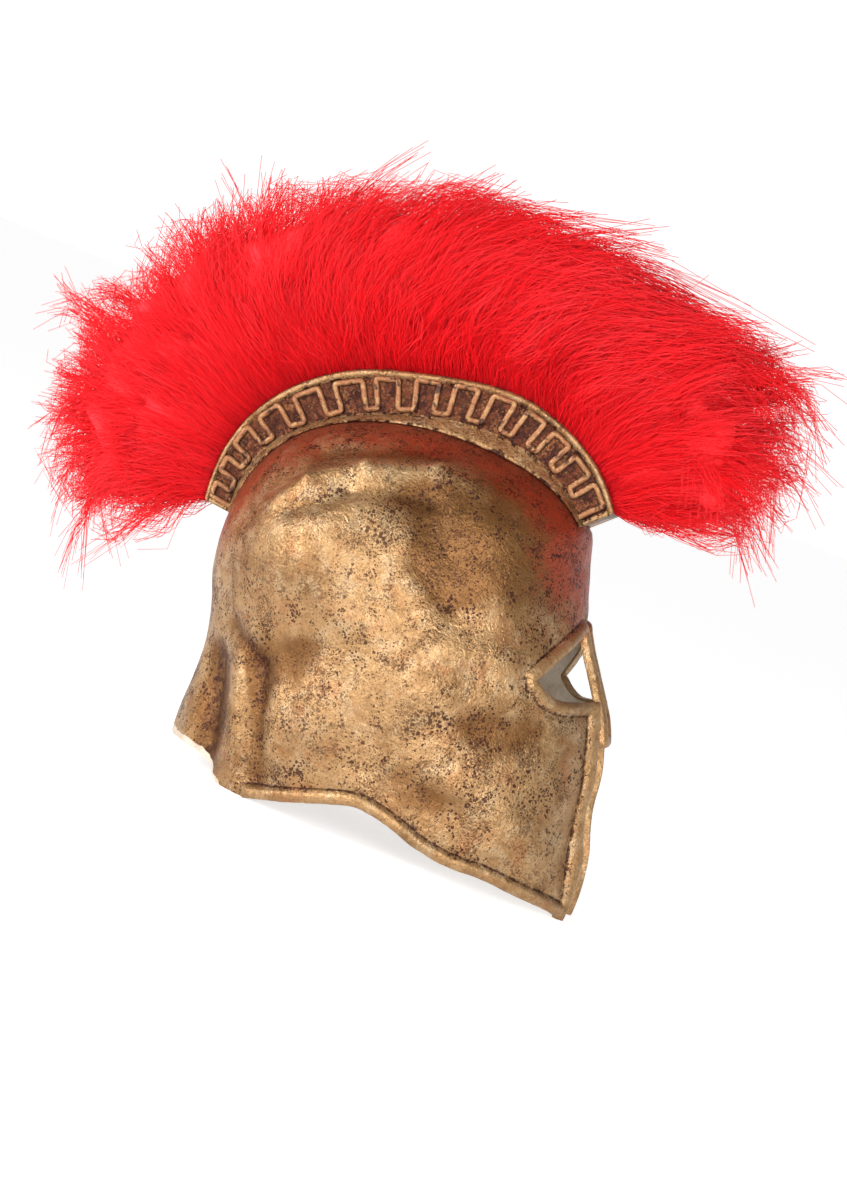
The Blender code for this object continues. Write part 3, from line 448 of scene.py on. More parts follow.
# Sponged dots: shift of their noise, spacing, size of the patches they crowd in, how crowded
# they are, their size in parts of the spacing, and their strength.
DOTS = table(
    "Dots", "shift spacing patch crowding size strength",
    ((0.3, 0.1, 0.7), 0.0024, 0.021, 0.14, 0.17, 1.0),
    ((4.7, 1.3, 9.2), 0.0016, 0.016, 0.30, 0.21, 1.0),
    ((2.6, 7.7, 5.9), 0.0011, 0.020, 0.40, 0.25, 0.7))
# Rings of the sponge: shift of their noise, size of a ring, and of the patches they lie in.
RINGS = ((2.2, 8.1, 0.6), 0.0058, 0.026)

# Faces that meet at more than this, in degrees, keep a sharp edge between them.
SHARP_TURN = 50

# Stage, in metres: the floor, the height that the frame covers at the helmet, and the lights.
FLOOR_REACH = 30.0
FLOOR_WHITE = (0.838, 0.838, 0.838)
FLOOR_GLOW = 0.62
FRAME_HEIGHT = 0.702
LIGHT_TARGET = (0.0, 0.0, 0.2)
KEY_LIGHT_PLACE = (-1.45, 1.50, 0.62)
KEY_LIGHT_SIZE = 1.1
FILL_LIGHT_PLACE = (-2.1, -0.75, 0.36)
FILL_LIGHT_SIZE = 1.2
SENSOR_WIDTH = 36.0
# The surroundings: heights between which they dim, in parts of straight up, and their
# brightness below.
SKY_HEIGHTS = (0.16, 0.50)
HORIZON_WHITE = 1.05


def table_curve(rows):
    """Rows of a table joined by a smooth curve, as a dense array."""
    rows = np.array(rows, dtype=float)
    rows = np.vstack([2 * rows[0] - rows[1], rows, 2 * rows[-1] - rows[-2]])
    dense = []
    for index in range(1, len(rows) - 2):
        a, b, c, d = rows[index - 1:index + 3]
        for step in range(CURVE_STEPS):
            t = step / CURVE_STEPS
            dense.append(0.5 * (2 * b + (c - a) * t + (2 * a - 5 * b + 4 * c - d) * t ** 2
                                + (3 * b - a - 3 * c + d) * t ** 3))
    dense.append(rows[-2])
    return np.array(dense)


def read_curve(curve, x, column=1):
    """A column of a dense curve at places along its first column."""
    return np.interp(x, curve[:, 0], curve[:, column])


SECTION_CURVE = table_curve(SECTIONS)
HEM_CURVE = table_curve(HEM)
EYE_TOP_CURVE = table_curve(EYE_TOP)
EYE_FLOOR_CURVE = table_curve(EYE_FLOOR)
FACE_CURVE = table_curve(FACE)
ARCH_CURVE = table_curve(ARCH)
LOCK_CURVE = table_curve(LOCKS)
WIDTH_CURVE = table_curve(LOCK_STAGES)
RIM_TABLE = np.array(RIM)
FLOW_CURVE = np.array(FLOW, dtype=float)
EYE_CORNER = EYE_TOP[-1]


def helmet_matrix():
    """The helmet's placing: lean back about the side axis, then up onto the ground."""
    lean = Matrix.Rotation(-math.radians(REST_LEAN), 4, "X")
    return Matrix.Translation((0.0, REST_BACK, REST_RISE)) @ lean


def to_world(points):
    """Helmet directions (forward, side, up) to world points."""
    points = np.asarray(points, float)
    local = np.stack([points[..., 1], -points[..., 0], points[..., 2]], axis=-1)
    placing = np.array(helmet_matrix())
    return local @ placing[:3, :3].T + placing[:3, 3]


def smooth_part(value, low, high):
    """0 below low, 1 above high, and a smooth rise between them."""
    part = np.clip((value - low) / (high - low), 0, 1)
    return part * part * (3 - 2 * part)


def lattice_noise(points, size, seed):
    """Smooth noise between -1 and 1 with features of one size, at rows of points."""
    lattice = np.random.default_rng(seed).uniform(-1, 1, (32, 32, 32))
    scaled = np.asarray(points, float) / size
    cell = np.floor(scaled).astype(int)
    part = scaled - cell
    part = part * part * (3 - 2 * part)
    total = 0
    for corner in np.ndindex(2, 2, 2):
        index = (cell + corner) % 32
        share = np.where(corner, part, 1 - part).prod(axis=-1)
        total = total + lattice[index[..., 0], index[..., 1], index[..., 2]] * share
    return total


# The shell: one wall, worked out on a grid of azimuth and height.

def signed_power(value, power):
    """A power of a value's size, with the value's own sign."""
    return np.sign(value) * np.abs(value) ** power


def bare_skin(azimuth, up):
    """Points of the undented outer face, as rows of forward, side and up."""
    azimuth, up = np.broadcast_arrays(np.asarray(azimuth, float), np.asarray(up, float))
    front, rear, half, widest, front_power, rear_power = (
        read_curve(SECTION_CURVE, up, column) for column in range(1, 7))
    ahead = np.cos(azimuth) >= 0
    power = 2 / np.where(ahead, front_power, rear_power)
    reach = np.where(ahead, front - widest, widest - rear)
    forward = widest + reach * signed_power(np.cos(azimuth), power)
    side = half * signed_power(np.sin(azimuth), power)
    return np.stack([forward, side, up], axis=-1)


def skin_normal(azimuth, up):
    """Outward directions of the undented face."""
    top = SECTIONS[-1].up
    high = np.minimum(up + SLOPE_STEP, top)
    around = bare_skin(azimuth + TURN_STEP, up) - bare_skin(azimuth - TURN_STEP, up)
    rising = bare_skin(azimuth, high) - bare_skin(azimuth, up - SLOPE_STEP)
    normal = np.cross(around, rising)
    length = np.linalg.norm(normal, axis=-1, keepdims=True)
    flat = (up > top - SLOPE_STEP)[..., None]
    return np.where(flat, (0.0, 0.0, 1.0), normal / np.maximum(length, 1e-12))


def azimuth_of_side(side, up):
    """Azimuth, ahead of the widest place, where the face lies this far to the side."""
    half = read_curve(SECTION_CURVE, up, 3)
    power = read_curve(SECTION_CURVE, up, 5)
    return np.arcsin(np.clip(side / half, 0, 1) ** (power / 2))


def hem_up(azimuth):
    return read_curve(HEM_CURVE, np.degrees(azimuth))


def nasal_half(up):
    """Half width of the nasal bar, rounded off at its tip."""
    half = read_curve(FACE_CURVE, up, 2)
    near_tip = np.clip((NASAL_TIP_UP + NASAL_TIP_CORNER - up) / NASAL_TIP_CORNER, 0, 1)
    return half - NASAL_TIP_CORNER * (1 - np.sqrt(1 - near_tip ** 2 * NASAL_TIP_TURN))


def beside_middle(side, up):
    """Points of the bare face, ahead of its widest place, this far to the side."""
    return bare_skin(azimuth_of_side(side, up), up)


def rimmed_edges():
    """Points every millimetre or so along one side's rimmed edges, on the bare face."""
    hem_azimuth = np.radians(np.linspace(HEM_RIM_FROM, RAW_HEM_FROM, HEM_STEPS))
    lines = [bare_skin(hem_azimuth, hem_up(hem_azimuth))]
    up = np.linspace(HEM[1].up, EYE_FLOOR[0].up, SLIT_STEPS)
    lines.append(beside_middle(read_curve(FACE_CURVE, up, 1), up))
    for curve, first in ((EYE_FLOOR_CURVE, FACE[-1].slit_half), (EYE_TOP_CURVE, FACE[-1].nasal_half)):
        side = np.linspace(first, EYE_CORNER.side, EYE_STEPS)
        lines.append(beside_middle(side, read_curve(curve, side)))
    up = np.linspace(NASAL_TIP_UP, EYE_TOP[1].up, EYE_STEPS)
    lines.append(beside_middle(nasal_half(up), up))
    side = np.linspace(0, nasal_half(NASAL_TIP_UP), TIP_STEPS)
    lines.append(beside_middle(side, NASAL_TIP_UP))
    return np.vstack(lines)


def edge_distance(points):
    """Distance of points of the bare face from the nearest rimmed edge."""
    edge = rimmed_edges()
    mirrored = points * (1, 0, 1) + np.abs(points) * (0, 1, 0)
    least = [np.sqrt(((edge - p) ** 2).sum(axis=1).min()) for p in mirrored]
    return np.array(least)


def fold_rise(points):
    """Rise of the long soft folds, which run along short lines on the flanks."""
    rise = np.zeros(len(points))
    flat = points[:, [0, 2]]
    for fold in FOLDS:
        start = np.array((fold.forward, fold.up))
        run = np.array((fold.to_forward, fold.to_up)) - start
        along = np.clip(((flat - start) @ run) / (run @ run), 0, 1)
        gap = np.linalg.norm(flat - start - along[:, None] * run, axis=1)
        hill = fold.rise * np.exp(-(gap / fold.width) ** 2)
        side = points[:, 1] * (fold.flank or 1)
        rise += np.where(side > 0, hill, 0) if fold.flank else hill
    return rise


def dent_rise(points):
    """Soft dents and swellings at points of the bare face."""
    rise = fold_rise(points)
    for dent in DENTS:
        turn = math.radians(dent.turn)
        forward = points[:, 0] - dent.forward
        up = points[:, 2] - dent.up
        along = (forward * math.cos(turn) + up * math.sin(turn)) / dent.long_reach
        across = (up * math.cos(turn) - forward * math.sin(turn)) / dent.short_reach
        hill = dent.rise * np.exp(-along ** 2 - across ** 2)
        rise += np.where(points[:, 1] * dent.flank < 0, 0, hill) if dent.flank else hill
    flank = np.clip(np.abs(points[:, 1]) / HOLDER_FOOT_HALF - 1, 0, 1)
    return rise * flank


def lump_rise(points):
    """The uneven skin of cast latex, clear of the crest holder's seat."""
    rise = sum(height * lattice_noise(points, size, seed) for size, height, seed in LUMPS)
    near_crest = (np.abs(points[:, 1]) < HOLDER_FOOT_HALF + 0.002) & (points[:, 2] > 0.04)
    return np.where(near_crest, np.minimum(rise, 0) * 0.3, rise)


def cheek_flare(points):
    """How far the cheek plates lean forward along the slit between them."""
    up = points[:, 2]
    beside = np.abs(points[:, 1]) - read_curve(FACE_CURVE, up, 1)
    part = np.clip(1 - beside / FLARE_REACH, 0, 1)
    below_eye = (up < EYE_FLOOR[0].up + SLOPE_STEP) & (points[:, 0] > 0)
    return np.where(below_eye, read_curve(FACE_CURVE, up, 4) * part ** FLARE_POWER, 0)


class HalfGrid:
    """Corner points and faces of one half of the shell, shared where patches meet."""

    def __init__(self):
        self.azimuth = []
        self.up = []
        self.on_nasal = []
        self.faces = []
        self.names = {}

    def corner(self, azimuth, up, on_nasal=False):
        name = (round(azimuth, 6), round(up, 7))
        if name not in self.names:
            self.names[name] = len(self.up)
            self.azimuth.append(azimuth)
            self.up.append(up)
            self.on_nasal.append(on_nasal)
        return self.names[name]

    def patch(self, columns):
        """Quads between neighbouring columns of corners, triangles where two coincide."""
        for left, right in zip(columns, columns[1:]):
            for low in range(len(left) - 1):
                ring = [left[low], right[low], right[low + 1], left[low + 1]]
                face = [c for i, c in enumerate(ring) if c != ring[i - 1]]
                if len(face) > 2:
                    self.faces.append(face)


def spread(first, last, count):
    """Evenly spaced values from first to last, without the first."""
    return [first + (last - first) * step / count for step in range(1, count + 1)]


CORNER_AZIMUTH = float(azimuth_of_side(EYE_CORNER.side, EYE_CORNER.up))
FLANK_AZIMUTHS = spread(CORNER_AZIMUTH, math.pi, FLANK_COLUMNS)


def waterline_up(azimuth):
    """Height where the cheek and crown patches meet, behind the eye."""
    part = (azimuth - CORNER_AZIMUTH) / (math.pi - CORNER_AZIMUTH)
    return EYE_CORNER.up + WATERLINE_RISE * part ** 2


def slope_factor(azimuth, up):
    """How much longer a vertical step must be to cross the sloping hem at right angles."""
    here = bare_skin(azimuth - TURN_STEP, up)
    there = bare_skin(azimuth + TURN_STEP, up)
    rise = float(hem_up(azimuth + TURN_STEP) - hem_up(azimuth - TURN_STEP))
    return math.hypot(1.0, rise / max(np.linalg.norm(there - here), 1e-6))


def settled(value, rule):
    """Where a value comes to rest when a rule is put to it again and again."""
    for _ in range(SEARCH_STEPS):
        value = rule(value)
    return value


def lid_up(curve, azimuth, up):
    """Height of an eye's edge straight above or below a place of the bare face."""
    side = float(bare_skin(azimuth, up)[1])
    return float(read_curve(curve, min(side, EYE_CORNER.side)))


def cheek_column(azimuth_at, top):
    """Heights and azimuths up one column of the cheek patch."""
    bottom = settled(HEM[5].up, lambda up: float(hem_up(azimuth_at(up))))
    stretch = slope_factor(azimuth_at(bottom), bottom)
    low = [bottom + line * stretch for line in RIM_LINES]
    high = [top - line for line in reversed(RIM_LINES)]
    heights = low + spread(low[-1], high[0], CHEEK_ROWS) + high[1:]
    return [(azimuth_at(up), up) for up in heights]


def add_cheek(grid):
    """The patch below the eye and the waterline, from the slit round to the nape."""
    def slit_azimuth(line):
        return lambda up: float(azimuth_of_side(read_curve(FACE_CURVE, up, 1) + line, up))

    def blended(part):
        edge = slit_azimuth(RIM_LINES[-1])
        return lambda up: edge(up) * (1 - part) + CORNER_AZIMUTH * part

    columns = [cheek_column(slit_azimuth(line), EYE_FLOOR[0].up) for line in RIM_LINES]
    for part in spread(0.0, 1.0, FACE_COLUMNS):
        at = blended(part)
        top = settled(EYE_CORNER.up, lambda up, at=at: lid_up(EYE_FLOOR_CURVE, at(up), up))
        columns.append(cheek_column(at, top))
    for azimuth in FLANK_AZIMUTHS:
        columns.append(cheek_column(lambda up, a=azimuth: a, waterline_up(azimuth)))
    grid.patch([[grid.corner(*place) for place in column] for column in columns])


def crown_column(azimuth, bottom):
    """Heights from the brow or the waterline to the top of the crown."""
    low = [bottom + line for line in RIM_LINES]
    rows = np.arange(len(SECTION_CURVE))
    start = np.interp(low[-1], SECTION_CURVE[:, 0], rows)
    heights = [float(np.interp(r, rows, SECTION_CURVE[:, 0]))
               for r in spread(start, rows[-1], CROWN_ROWS)]
    return [(azimuth, up) for up in low + heights]


def add_crown(grid):
    """The patch above the brow and the waterline, closed at the top of the crown."""
    junction = EYE_TOP[1].up
    columns = []
    for part in NASAL_PARTS:
        azimuth = float(azimuth_of_side(part * nasal_half(junction), junction))
        columns.append(crown_column(azimuth, junction))
    first = columns[-1][0][0]
    for azimuth in spread(first, CORNER_AZIMUTH, BROW_COLUMNS):
        up = settled(EYE_CORNER.up, lambda up, a=azimuth: lid_up(EYE_TOP_CURVE, a, up))
        if azimuth == CORNER_AZIMUTH:
            up = EYE_CORNER.up
        columns.append(crown_column(azimuth, up))
    for azimuth in FLANK_AZIMUTHS:
        columns.append(crown_column(azimuth, waterline_up(azimuth)))
    top = grid.corner(math.pi, SECTIONS[-1].up)
    grid.patch([[grid.corner(*place) for place in column[:-1]] + [top] for column in columns])


def add_nasal(grid):
    """The bar that hangs from the brow between the eye openings."""
    junction = EYE_TOP[1].up
    tip = [NASAL_TIP_UP + line for line in RIM_LINES]
    heights = tip + spread(tip[-1], junction, NASAL_ROWS)
    columns = []
    for part in NASAL_PARTS:
        column = []
        for up in heights:
            azimuth = float(azimuth_of_side(part * nasal_half(up), up))
            column.append(grid.corner(azimuth, up, up < junction - 1e-6))
        columns.append(column)
    grid.patch(columns)


def whole_grid():
    """Azimuth, height and place of every corner of both halves, and the faces between them."""
    grid = HalfGrid()
    add_cheek(grid)
    add_crown(grid)
    add_nasal(grid)
    azimuth, up, on_nasal = np.array(grid.azimuth), np.array(grid.up), np.array(grid.on_nasal)
    middle = (azimuth < 1e-6) | (azimuth > math.pi - 1e-6)
    off = ~middle
    mirror = np.arange(len(up))
    mirror[off] = len(up) + np.arange(off.sum())
    faces = grid.faces + [[int(mirror[c]) for c in reversed(face)] for face in grid.faces]
    halves = ((azimuth, -azimuth), (up, up), (on_nasal, on_nasal), (middle, middle))
    return [np.concatenate([left, right[off]]) for left, right in halves] + [faces]


def wall_faces(faces, count):
    """Faces of the outer skin, of the inner one behind it, and of the edges between them."""
    used = {(a, b) for face in faces for a, b in zip(face, face[1:] + face[:1])}
    walls = faces + [[corner + count for corner in reversed(face)] for face in faces]
    return walls + [[b, a, a + count, b + count] for a, b in used if (b, a) not in used]


def shell_colours(azimuth, bare, near_edge, soft, above_hem):
    """Paint values of the outer and the inner skin, which place the finishes."""
    forward, side, up = bare.T
    crease = read_curve(RIM_TABLE, near_edge, 2)
    # painted shade: dark paint in the dents, by their depth
    crease = np.maximum(crease, np.clip(-soft / CREASE_DEPTH, 0, 1) * VALLEY_PAINT)
    lip_depth = RAW_LIP * smooth_part(np.degrees(np.abs(azimuth)), RAW_HEM_FROM + 2, RAW_LIP_FULL)
    # painted reflection of the red plume, beside the holder's foot
    level = np.where(forward > 0, smooth_part(up, *RED_FRONT), smooth_part(up, *RED_REAR))
    red_reflection = (1 - smooth_part(np.abs(side) - HOLDER_FOOT_HALF, 0, RED_REACH)) * level
    brow = smooth_part(forward, *BROW_FORWARD) * smooth_part(up, *BROW_UP)
    # brown over the brow, and in the dents as painted shade
    shade = BROW_SHADE * brow + np.clip(-soft / VALLEY_DEPTH, 0, 1) * VALLEY_SHADE
    # painted shade: broad patches of brown where the flank is to read darker
    for glaze in SHADE_PATCHES:
        apart = ((forward - glaze.forward) ** 2 + (up - glaze.up) ** 2) / glaze.size ** 2
        shade = shade + glaze.amount * np.exp(-apart)
    bead = 1 - smooth_part(near_edge, *BEAD_PAINT)
    # the swellings lose dots: rubbed wear, and partly a painted highlight
    bead = np.maximum(bead, np.clip(soft / RUBBED_AND_LIT_RISE, 0, 1) * RUBBED_AND_LIT_CLEAN * (1 - red_reflection))
    both = {"bead": bead, "red_reflection": red_reflection, "shade": shade, "crease": crease,
            "lip": (above_hem - lip_depth) * 1000}
    paint = {label: np.concatenate([values, values]) for label, values in both.items()}
    inside = smooth_part(near_edge, *PAINTED_EDGE)
    paint["inside"] = np.concatenate([np.zeros(len(inside)), inside])
    return paint


def shell_mesh(wall):
    """Points, faces and paint values of the whole shell wall."""
    azimuth, up, on_nasal, on_middle, faces = whole_grid()
    bare = bare_skin(azimuth, up)
    above_hem = up - hem_up(np.abs(azimuth))
    raw_hem = (np.abs(azimuth) > math.radians(RAW_HEM_FROM)) & (above_hem < RAW_HEM_DEPTH)
    near_edge = np.where(raw_hem, 1.0, edge_distance(bare))
    soft = dent_rise(bare)
    calm = smooth_part(near_edge, 0.003, 0.012) * 0.75 + 0.25
    rough = soft + read_curve(RIM_TABLE, near_edge) + lump_rise(bare) * calm
    lift = np.where(on_nasal, read_curve(FACE_CURVE, up, 3), cheek_flare(bare))
    moved = bare + lift[:, None] * (1, 0, 0)
    normal = skin_normal(azimuth, up)
    skins = [moved + normal * rise[:, None] for rise in (rough, soft - wall)]
    for skin in skins:
        skin[on_middle, 1] = 0
    paint = shell_colours(azimuth, bare, near_edge, soft, above_hem)
    return np.vstack(skins), wall_faces(faces, len(bare)), paint


def press_feet(world):
    """Press whatever would sink into the ground flat onto it."""
    world[:, 2] = np.where(world[:, 2] < FOOT_FLAT, 0.0, world[:, 2])
    return world


def shell_radius(angle, side):
    """Radius from the crest's centre to the bare crown, along an angle at one side."""
    low = np.full(np.shape(angle), SHELL_RADIUS_LEAST)
    high = np.full(np.shape(angle), SHELL_RADIUS_MOST)
    for _ in range(SEARCH_STEPS):
        radius = (low + high) / 2
        forward = CREST_CENTRE[0] + radius * np.cos(angle)
        up = CREST_CENTRE[1] + radius * np.sin(angle)
        front, rear, half, widest, front_power, rear_power = (
            read_curve(SECTION_CURVE, up, column) for column in range(1, 7))
        ahead = forward >= widest
        power = np.where(ahead, front_power, rear_power)
        reach = np.maximum(np.where(ahead, front - widest, widest - rear), 1e-6)
        oval = (np.abs(forward - widest) / reach) ** power
        oval += (np.abs(side) / np.maximum(half, 1e-6)) ** power
        outside = (oval > 1) | (up > SECTIONS[-1].up)
        high = np.where(outside, radius, high)
        low = np.where(outside, low, radius)
    return (low + high) / 2


def arch_points(angle, radius, side):
    """Points in helmet directions at angles (radians) and radii round the crest's centre."""
    angle, radius, side = np.broadcast_arrays(angle, radius, side)
    return np.stack([CREST_CENTRE[0] + radius * np.cos(angle), side,
                     CREST_CENTRE[1] + radius * np.sin(angle)], axis=-1)


def rim_radius(angle):
    return read_curve(ARCH_CURVE, np.degrees(angle))


def band_radius(angle, height):
    """Radius on the holder's side at a part of its height."""
    foot = shell_radius(angle, HOLDER_FOOT_HALF) + HOLDER_GAP
    return foot + (rim_radius(angle) - foot) * height


# Building of node trees and materials.

class NodeTree:
    """Short ways to add nodes to one tree and to join them."""

    def __init__(self, tree):
        self.tree = tree

    def feed(self, socket, value):
        """Link an output to a socket, or set the socket to a plain value."""
        if isinstance(value, bpy.types.NodeSocket):
            self.tree.links.new(value, socket)
        elif socket.type == "RGBA":
            socket.default_value = (*value, 1.0)
        else:
            socket.default_value = value

    def node(self, kind, inputs=None, **properties):
        """Add a node, set its properties and feed its inputs, by name or by number."""
        node = self.tree.nodes.new(kind)
        for name, value in properties.items():
            setattr(node, name, value)
        for name, value in (inputs or {}).items():
            self.feed(node.inputs[name], value)
        return node

    def math(self, operation, *values):
        node = self.node("ShaderNodeMath", dict(enumerate(values)), operation=operation)
        return node.outputs["Value"]

    def product(self, total, *values):
        """Values multiplied by each other, from the first on."""
        for value in values:
            total = self.math("MULTIPLY", total, value)
        return total

    def ramp(self, value, low, high, start=0.0, end=1.0):
        """Smooth step of a value from low to high."""
        node = self.node("ShaderNodeMapRange", {
            "Value": value, "From Min": low, "From Max": high, "To Min": start, "To Max": end},
            interpolation_type="SMOOTHSTEP")
        return node.outputs["Result"]


class NodeSheet(NodeTree):
    """A material's node tree, with short ways to add what this object's finishes need."""

    def __init__(self, name):
        self.material = bpy.data.materials.new(name)
        self.material.use_nodes = True
        super().__init__(self.material.node_tree)
        self.shader = self.tree.nodes["Principled BSDF"]
        self.place = self.node("ShaderNodeTexCoord").outputs["Object"]

    def attribute(self, name, output="Fac"):
        """A value that is stored on the mesh."""
        return self.node("ShaderNodeAttribute", attribute_name=name).outputs[output]

    def noise(self, size, detail=3.0, roughness=0.55, distortion=0.0, place=None, output="Fac"):
        """Noise from 0 to 1 with features about as large as size, at a shift or another place."""
        if isinstance(place, tuple):
            place = self.moved(place)
        node = self.node("ShaderNodeTexNoise", {
            "Vector": place or self.place, "Scale": 1 / size, "Detail": detail,
            "Roughness": roughness, "Distortion": distortion})
        return node.outputs[output]

    def scattered(self, size, place):
        """Distance from the nearest of scattered points, in parts of size, and its own number."""
        node = self.node("ShaderNodeTexVoronoi", {"Vector": place, "Scale": 1 / size})
        split = self.node("ShaderNodeSeparateColor", {"Color": node.outputs["Color"]})
        return node.outputs["Distance"], split.outputs["Red"]

    def shaken(self, place, size, reach):
        """A place moved about by noise, to make what is drawn there irregular."""
        noise = self.noise(size, 1.0, 0.5, 0.0, place, "Color")
        node = self.node("ShaderNodeVectorMath", {0: noise, 1: (reach,) * 3, 2: place},
                         operation="MULTIPLY_ADD")
        return node.outputs["Vector"]

    def moved(self, shift):
        node = self.node("ShaderNodeMapping", {"Vector": self.place, "Location": shift})
        return node.outputs["Vector"]

    def mix(self, part, first, second):
        return self.node("ShaderNodeMix", {0: part, 6: first, 7: second}, data_type="RGBA").outputs[2]

    def coat(self, tone, colour, value, low, high, amount=1.0):
        """A tone with a colour laid over it where a value goes from low to high."""
        return self.mix(self.ramp(value, low, high, 0.0, amount), tone, colour)

    def frayed(self, name, noise, reach):
        """A value that is stored on the mesh, with its borders frayed by noise."""
        return self.math("MULTIPLY_ADD", noise, reach, self.attribute(name))

    def bump(self, height, strength, distance):
        node = self.node("ShaderNodeBump", {
            "Height": height, "Strength": strength, "Distance": distance})
        return node.outputs["Normal"]

    def finish(self, **sockets):
        """Set the shader's sockets, with underscores for the spaces in their names."""
        for name, value in sockets.items():
            self.feed(self.shader.inputs[name.replace("_", " ")], value)
        return self.material


def dots(sheet, shift, spacing, patch, crowding, size):
    """Sponged dots: irregular grains of one spacing that crowd together in patches."""
    place = sheet.shaken(sheet.moved(shift), spacing * 0.45, spacing * 0.65)
    distance, draw = sheet.scattered(spacing, place)
    crowd = sheet.noise(patch, 3.0, 0.6, 0.6, tuple(-part for part in shift))
    chosen = sheet.math("MULTIPLY_ADD", sheet.math("SUBTRACT", crowd, 0.5), 4.2, crowding)
    lucky = sheet.ramp(sheet.math("SUBTRACT", chosen, draw), 0.0, 0.04)
    grain = sheet.math("MULTIPLY_ADD", draw, 0.6, size)
    inside = sheet.ramp(sheet.math("SUBTRACT", grain, distance), -0.06, 0.06)
    return sheet.product(lucky, inside)


def sponge_rings(sheet, shift, size, patch):
    """Broken rings that the bubbles of a sponge leave."""
    place = sheet.shaken(sheet.moved(shift), size * 0.5, size * 0.25)
    distance, draw = sheet.scattered(size, place)
    ring = sheet.ramp(sheet.math("ABSOLUTE", sheet.math("SUBTRACT", distance, 0.33)), 0.11, 0.05)
    broken = sheet.ramp(sheet.noise(size * 0.30, 2.0, 0.7, 0.5, place), 0.50, 0.56)
    crowd = sheet.ramp(sheet.noise(patch, 1.0, 0.5, 0.2, place), 0.50, 0.60)
    some = sheet.ramp(draw, 0.55, 0.60)
    return sheet.product(ring, broken, sheet.product(crowd, some))


def bronze_layers(sheet, settings, amount):
    """Colour of antique bronze, gold under its glazes and under patches of painted highlight, and how
    much dark paint is sponged on it.
    """
    # lit: paler gold of a painted highlight, laid in random patches by its coat
    lit = [min(1.0, channel * part) for channel, part in zip(settings.gold, LIT_GOLD)]
    colours = {"brown": settings.brown, "copper": settings.copper, "lit": lit}
    tone = settings.gold
    for coat in COATS:
        cloud = sheet.noise(coat.size, coat.detail, coat.roughness, coat.distortion, coat.shift)
        tone = sheet.coat(tone, colours[coat.colour], cloud, coat.low, coat.high, coat.amount)
    paint = sponge_rings(sheet, *RINGS)
    for row in DOTS:
        grains = sheet.product(dots(sheet, *row[:-1]), row.strength)
        paint = sheet.math("MAXIMUM", paint, grains)
    return tone, sheet.product(paint, amount)


def bronze_bump(sheet):
    """Normal of the sponged latex: raised lumps with a fine grain on them."""
    lumps = sheet.noise(0.0045, 3.0, 0.6, 0.8)
    grain = sheet.noise(0.0014, 2.0, 0.6)
    height = sheet.math("MULTIPLY_ADD", grain, 0.42, lumps)
    return sheet.bump(height, 0.7, 0.0011)


def raw_latex_part(sheet):
    """Where the shell is bare: inside, and along its cut hem."""
    edge = sheet.frayed("lip", sheet.noise(0.010, 3.0, 0.6), 6.0)
    return sheet.math("MAXIMUM", sheet.ramp(edge, 3.2, 2.7),
                      sheet.ramp(sheet.attribute("inside"), 0.45, 0.55))


def shell_paint(settings):
    """Painted outside, dark creases, raw cream latex inside and along the cut hem."""
    sheet = NodeSheet("antique_bronze_paint")
    tone, spots = bronze_layers(sheet, settings, 0.92)
    # fewer dots along the rims and on the swellings; on the swellings this is partly a painted
    # highlight
    rubbed_and_lit = sheet.math("MULTIPLY_ADD", sheet.attribute("bead"), -0.8, 1.0)
    spots = sheet.product(spots, rubbed_and_lit)
    ragged = sheet.noise(0.020, 3.0, 0.6, 0.5, (9.0, 5.0, 4.0))
    patchy = sheet.noise(0.007, 3.0, 0.7, 0.6, (8.0, 3.0, 6.0))
    # brown by the shade values: over the brow, and as painted shade in the dents and the broad shade
    # patches
    tone = sheet.coat(tone, settings.brown, sheet.frayed("shade", ragged, 0.8), 0.50, 1.15, 0.95)
    # painted reflection of the red plume beside the holder, broken into patches
    red_reflection = sheet.frayed("red_reflection", ragged, 0.9)
    red_reflection = sheet.math("MULTIPLY_ADD", sheet.math("SUBTRACT", patchy, 0.5), 0.9, red_reflection)
    tone = sheet.coat(tone, settings.reflected_plume_red, red_reflection, 0.60, 1.30, 0.88)
    broken = sheet.noise(0.004, 3.0, 0.7, 0.4, (2.0, 7.0, 1.0))
    # dark paint in the rim creases, and painted shade in the dents
    tone = sheet.coat(tone, settings.dark, sheet.frayed("crease", broken, 1.3), 1.15, 1.60, 0.92)
    tone = sheet.mix(spots, tone, settings.dark)
    stain = sheet.noise(0.012, 3.0, 0.6, 0.4, (6.0, 1.0, 8.0))
    raw = raw_latex_part(sheet)
    tone = sheet.mix(raw, tone, sheet.coat(settings.raw_latex, STAINED_LATEX, stain, 0.40, 0.75))
    rough = sheet.ramp(sheet.noise(0.008, 3.0, 0.6), 0.3, 0.7, 0.34, 0.50)
    rough = sheet.math("MAXIMUM", rough, sheet.product(raw, 0.6))
    rough = sheet.math("MULTIPLY_ADD", spots, 0.15, rough)
    metal = sheet.product(sheet.math("SUBTRACT", 1.0, raw), 0.64)
    return sheet.finish(Base_Color=tone, Roughness=rough, Metallic=metal,
                        Specular_IOR_Level=0.25, Normal=bronze_bump(sheet))


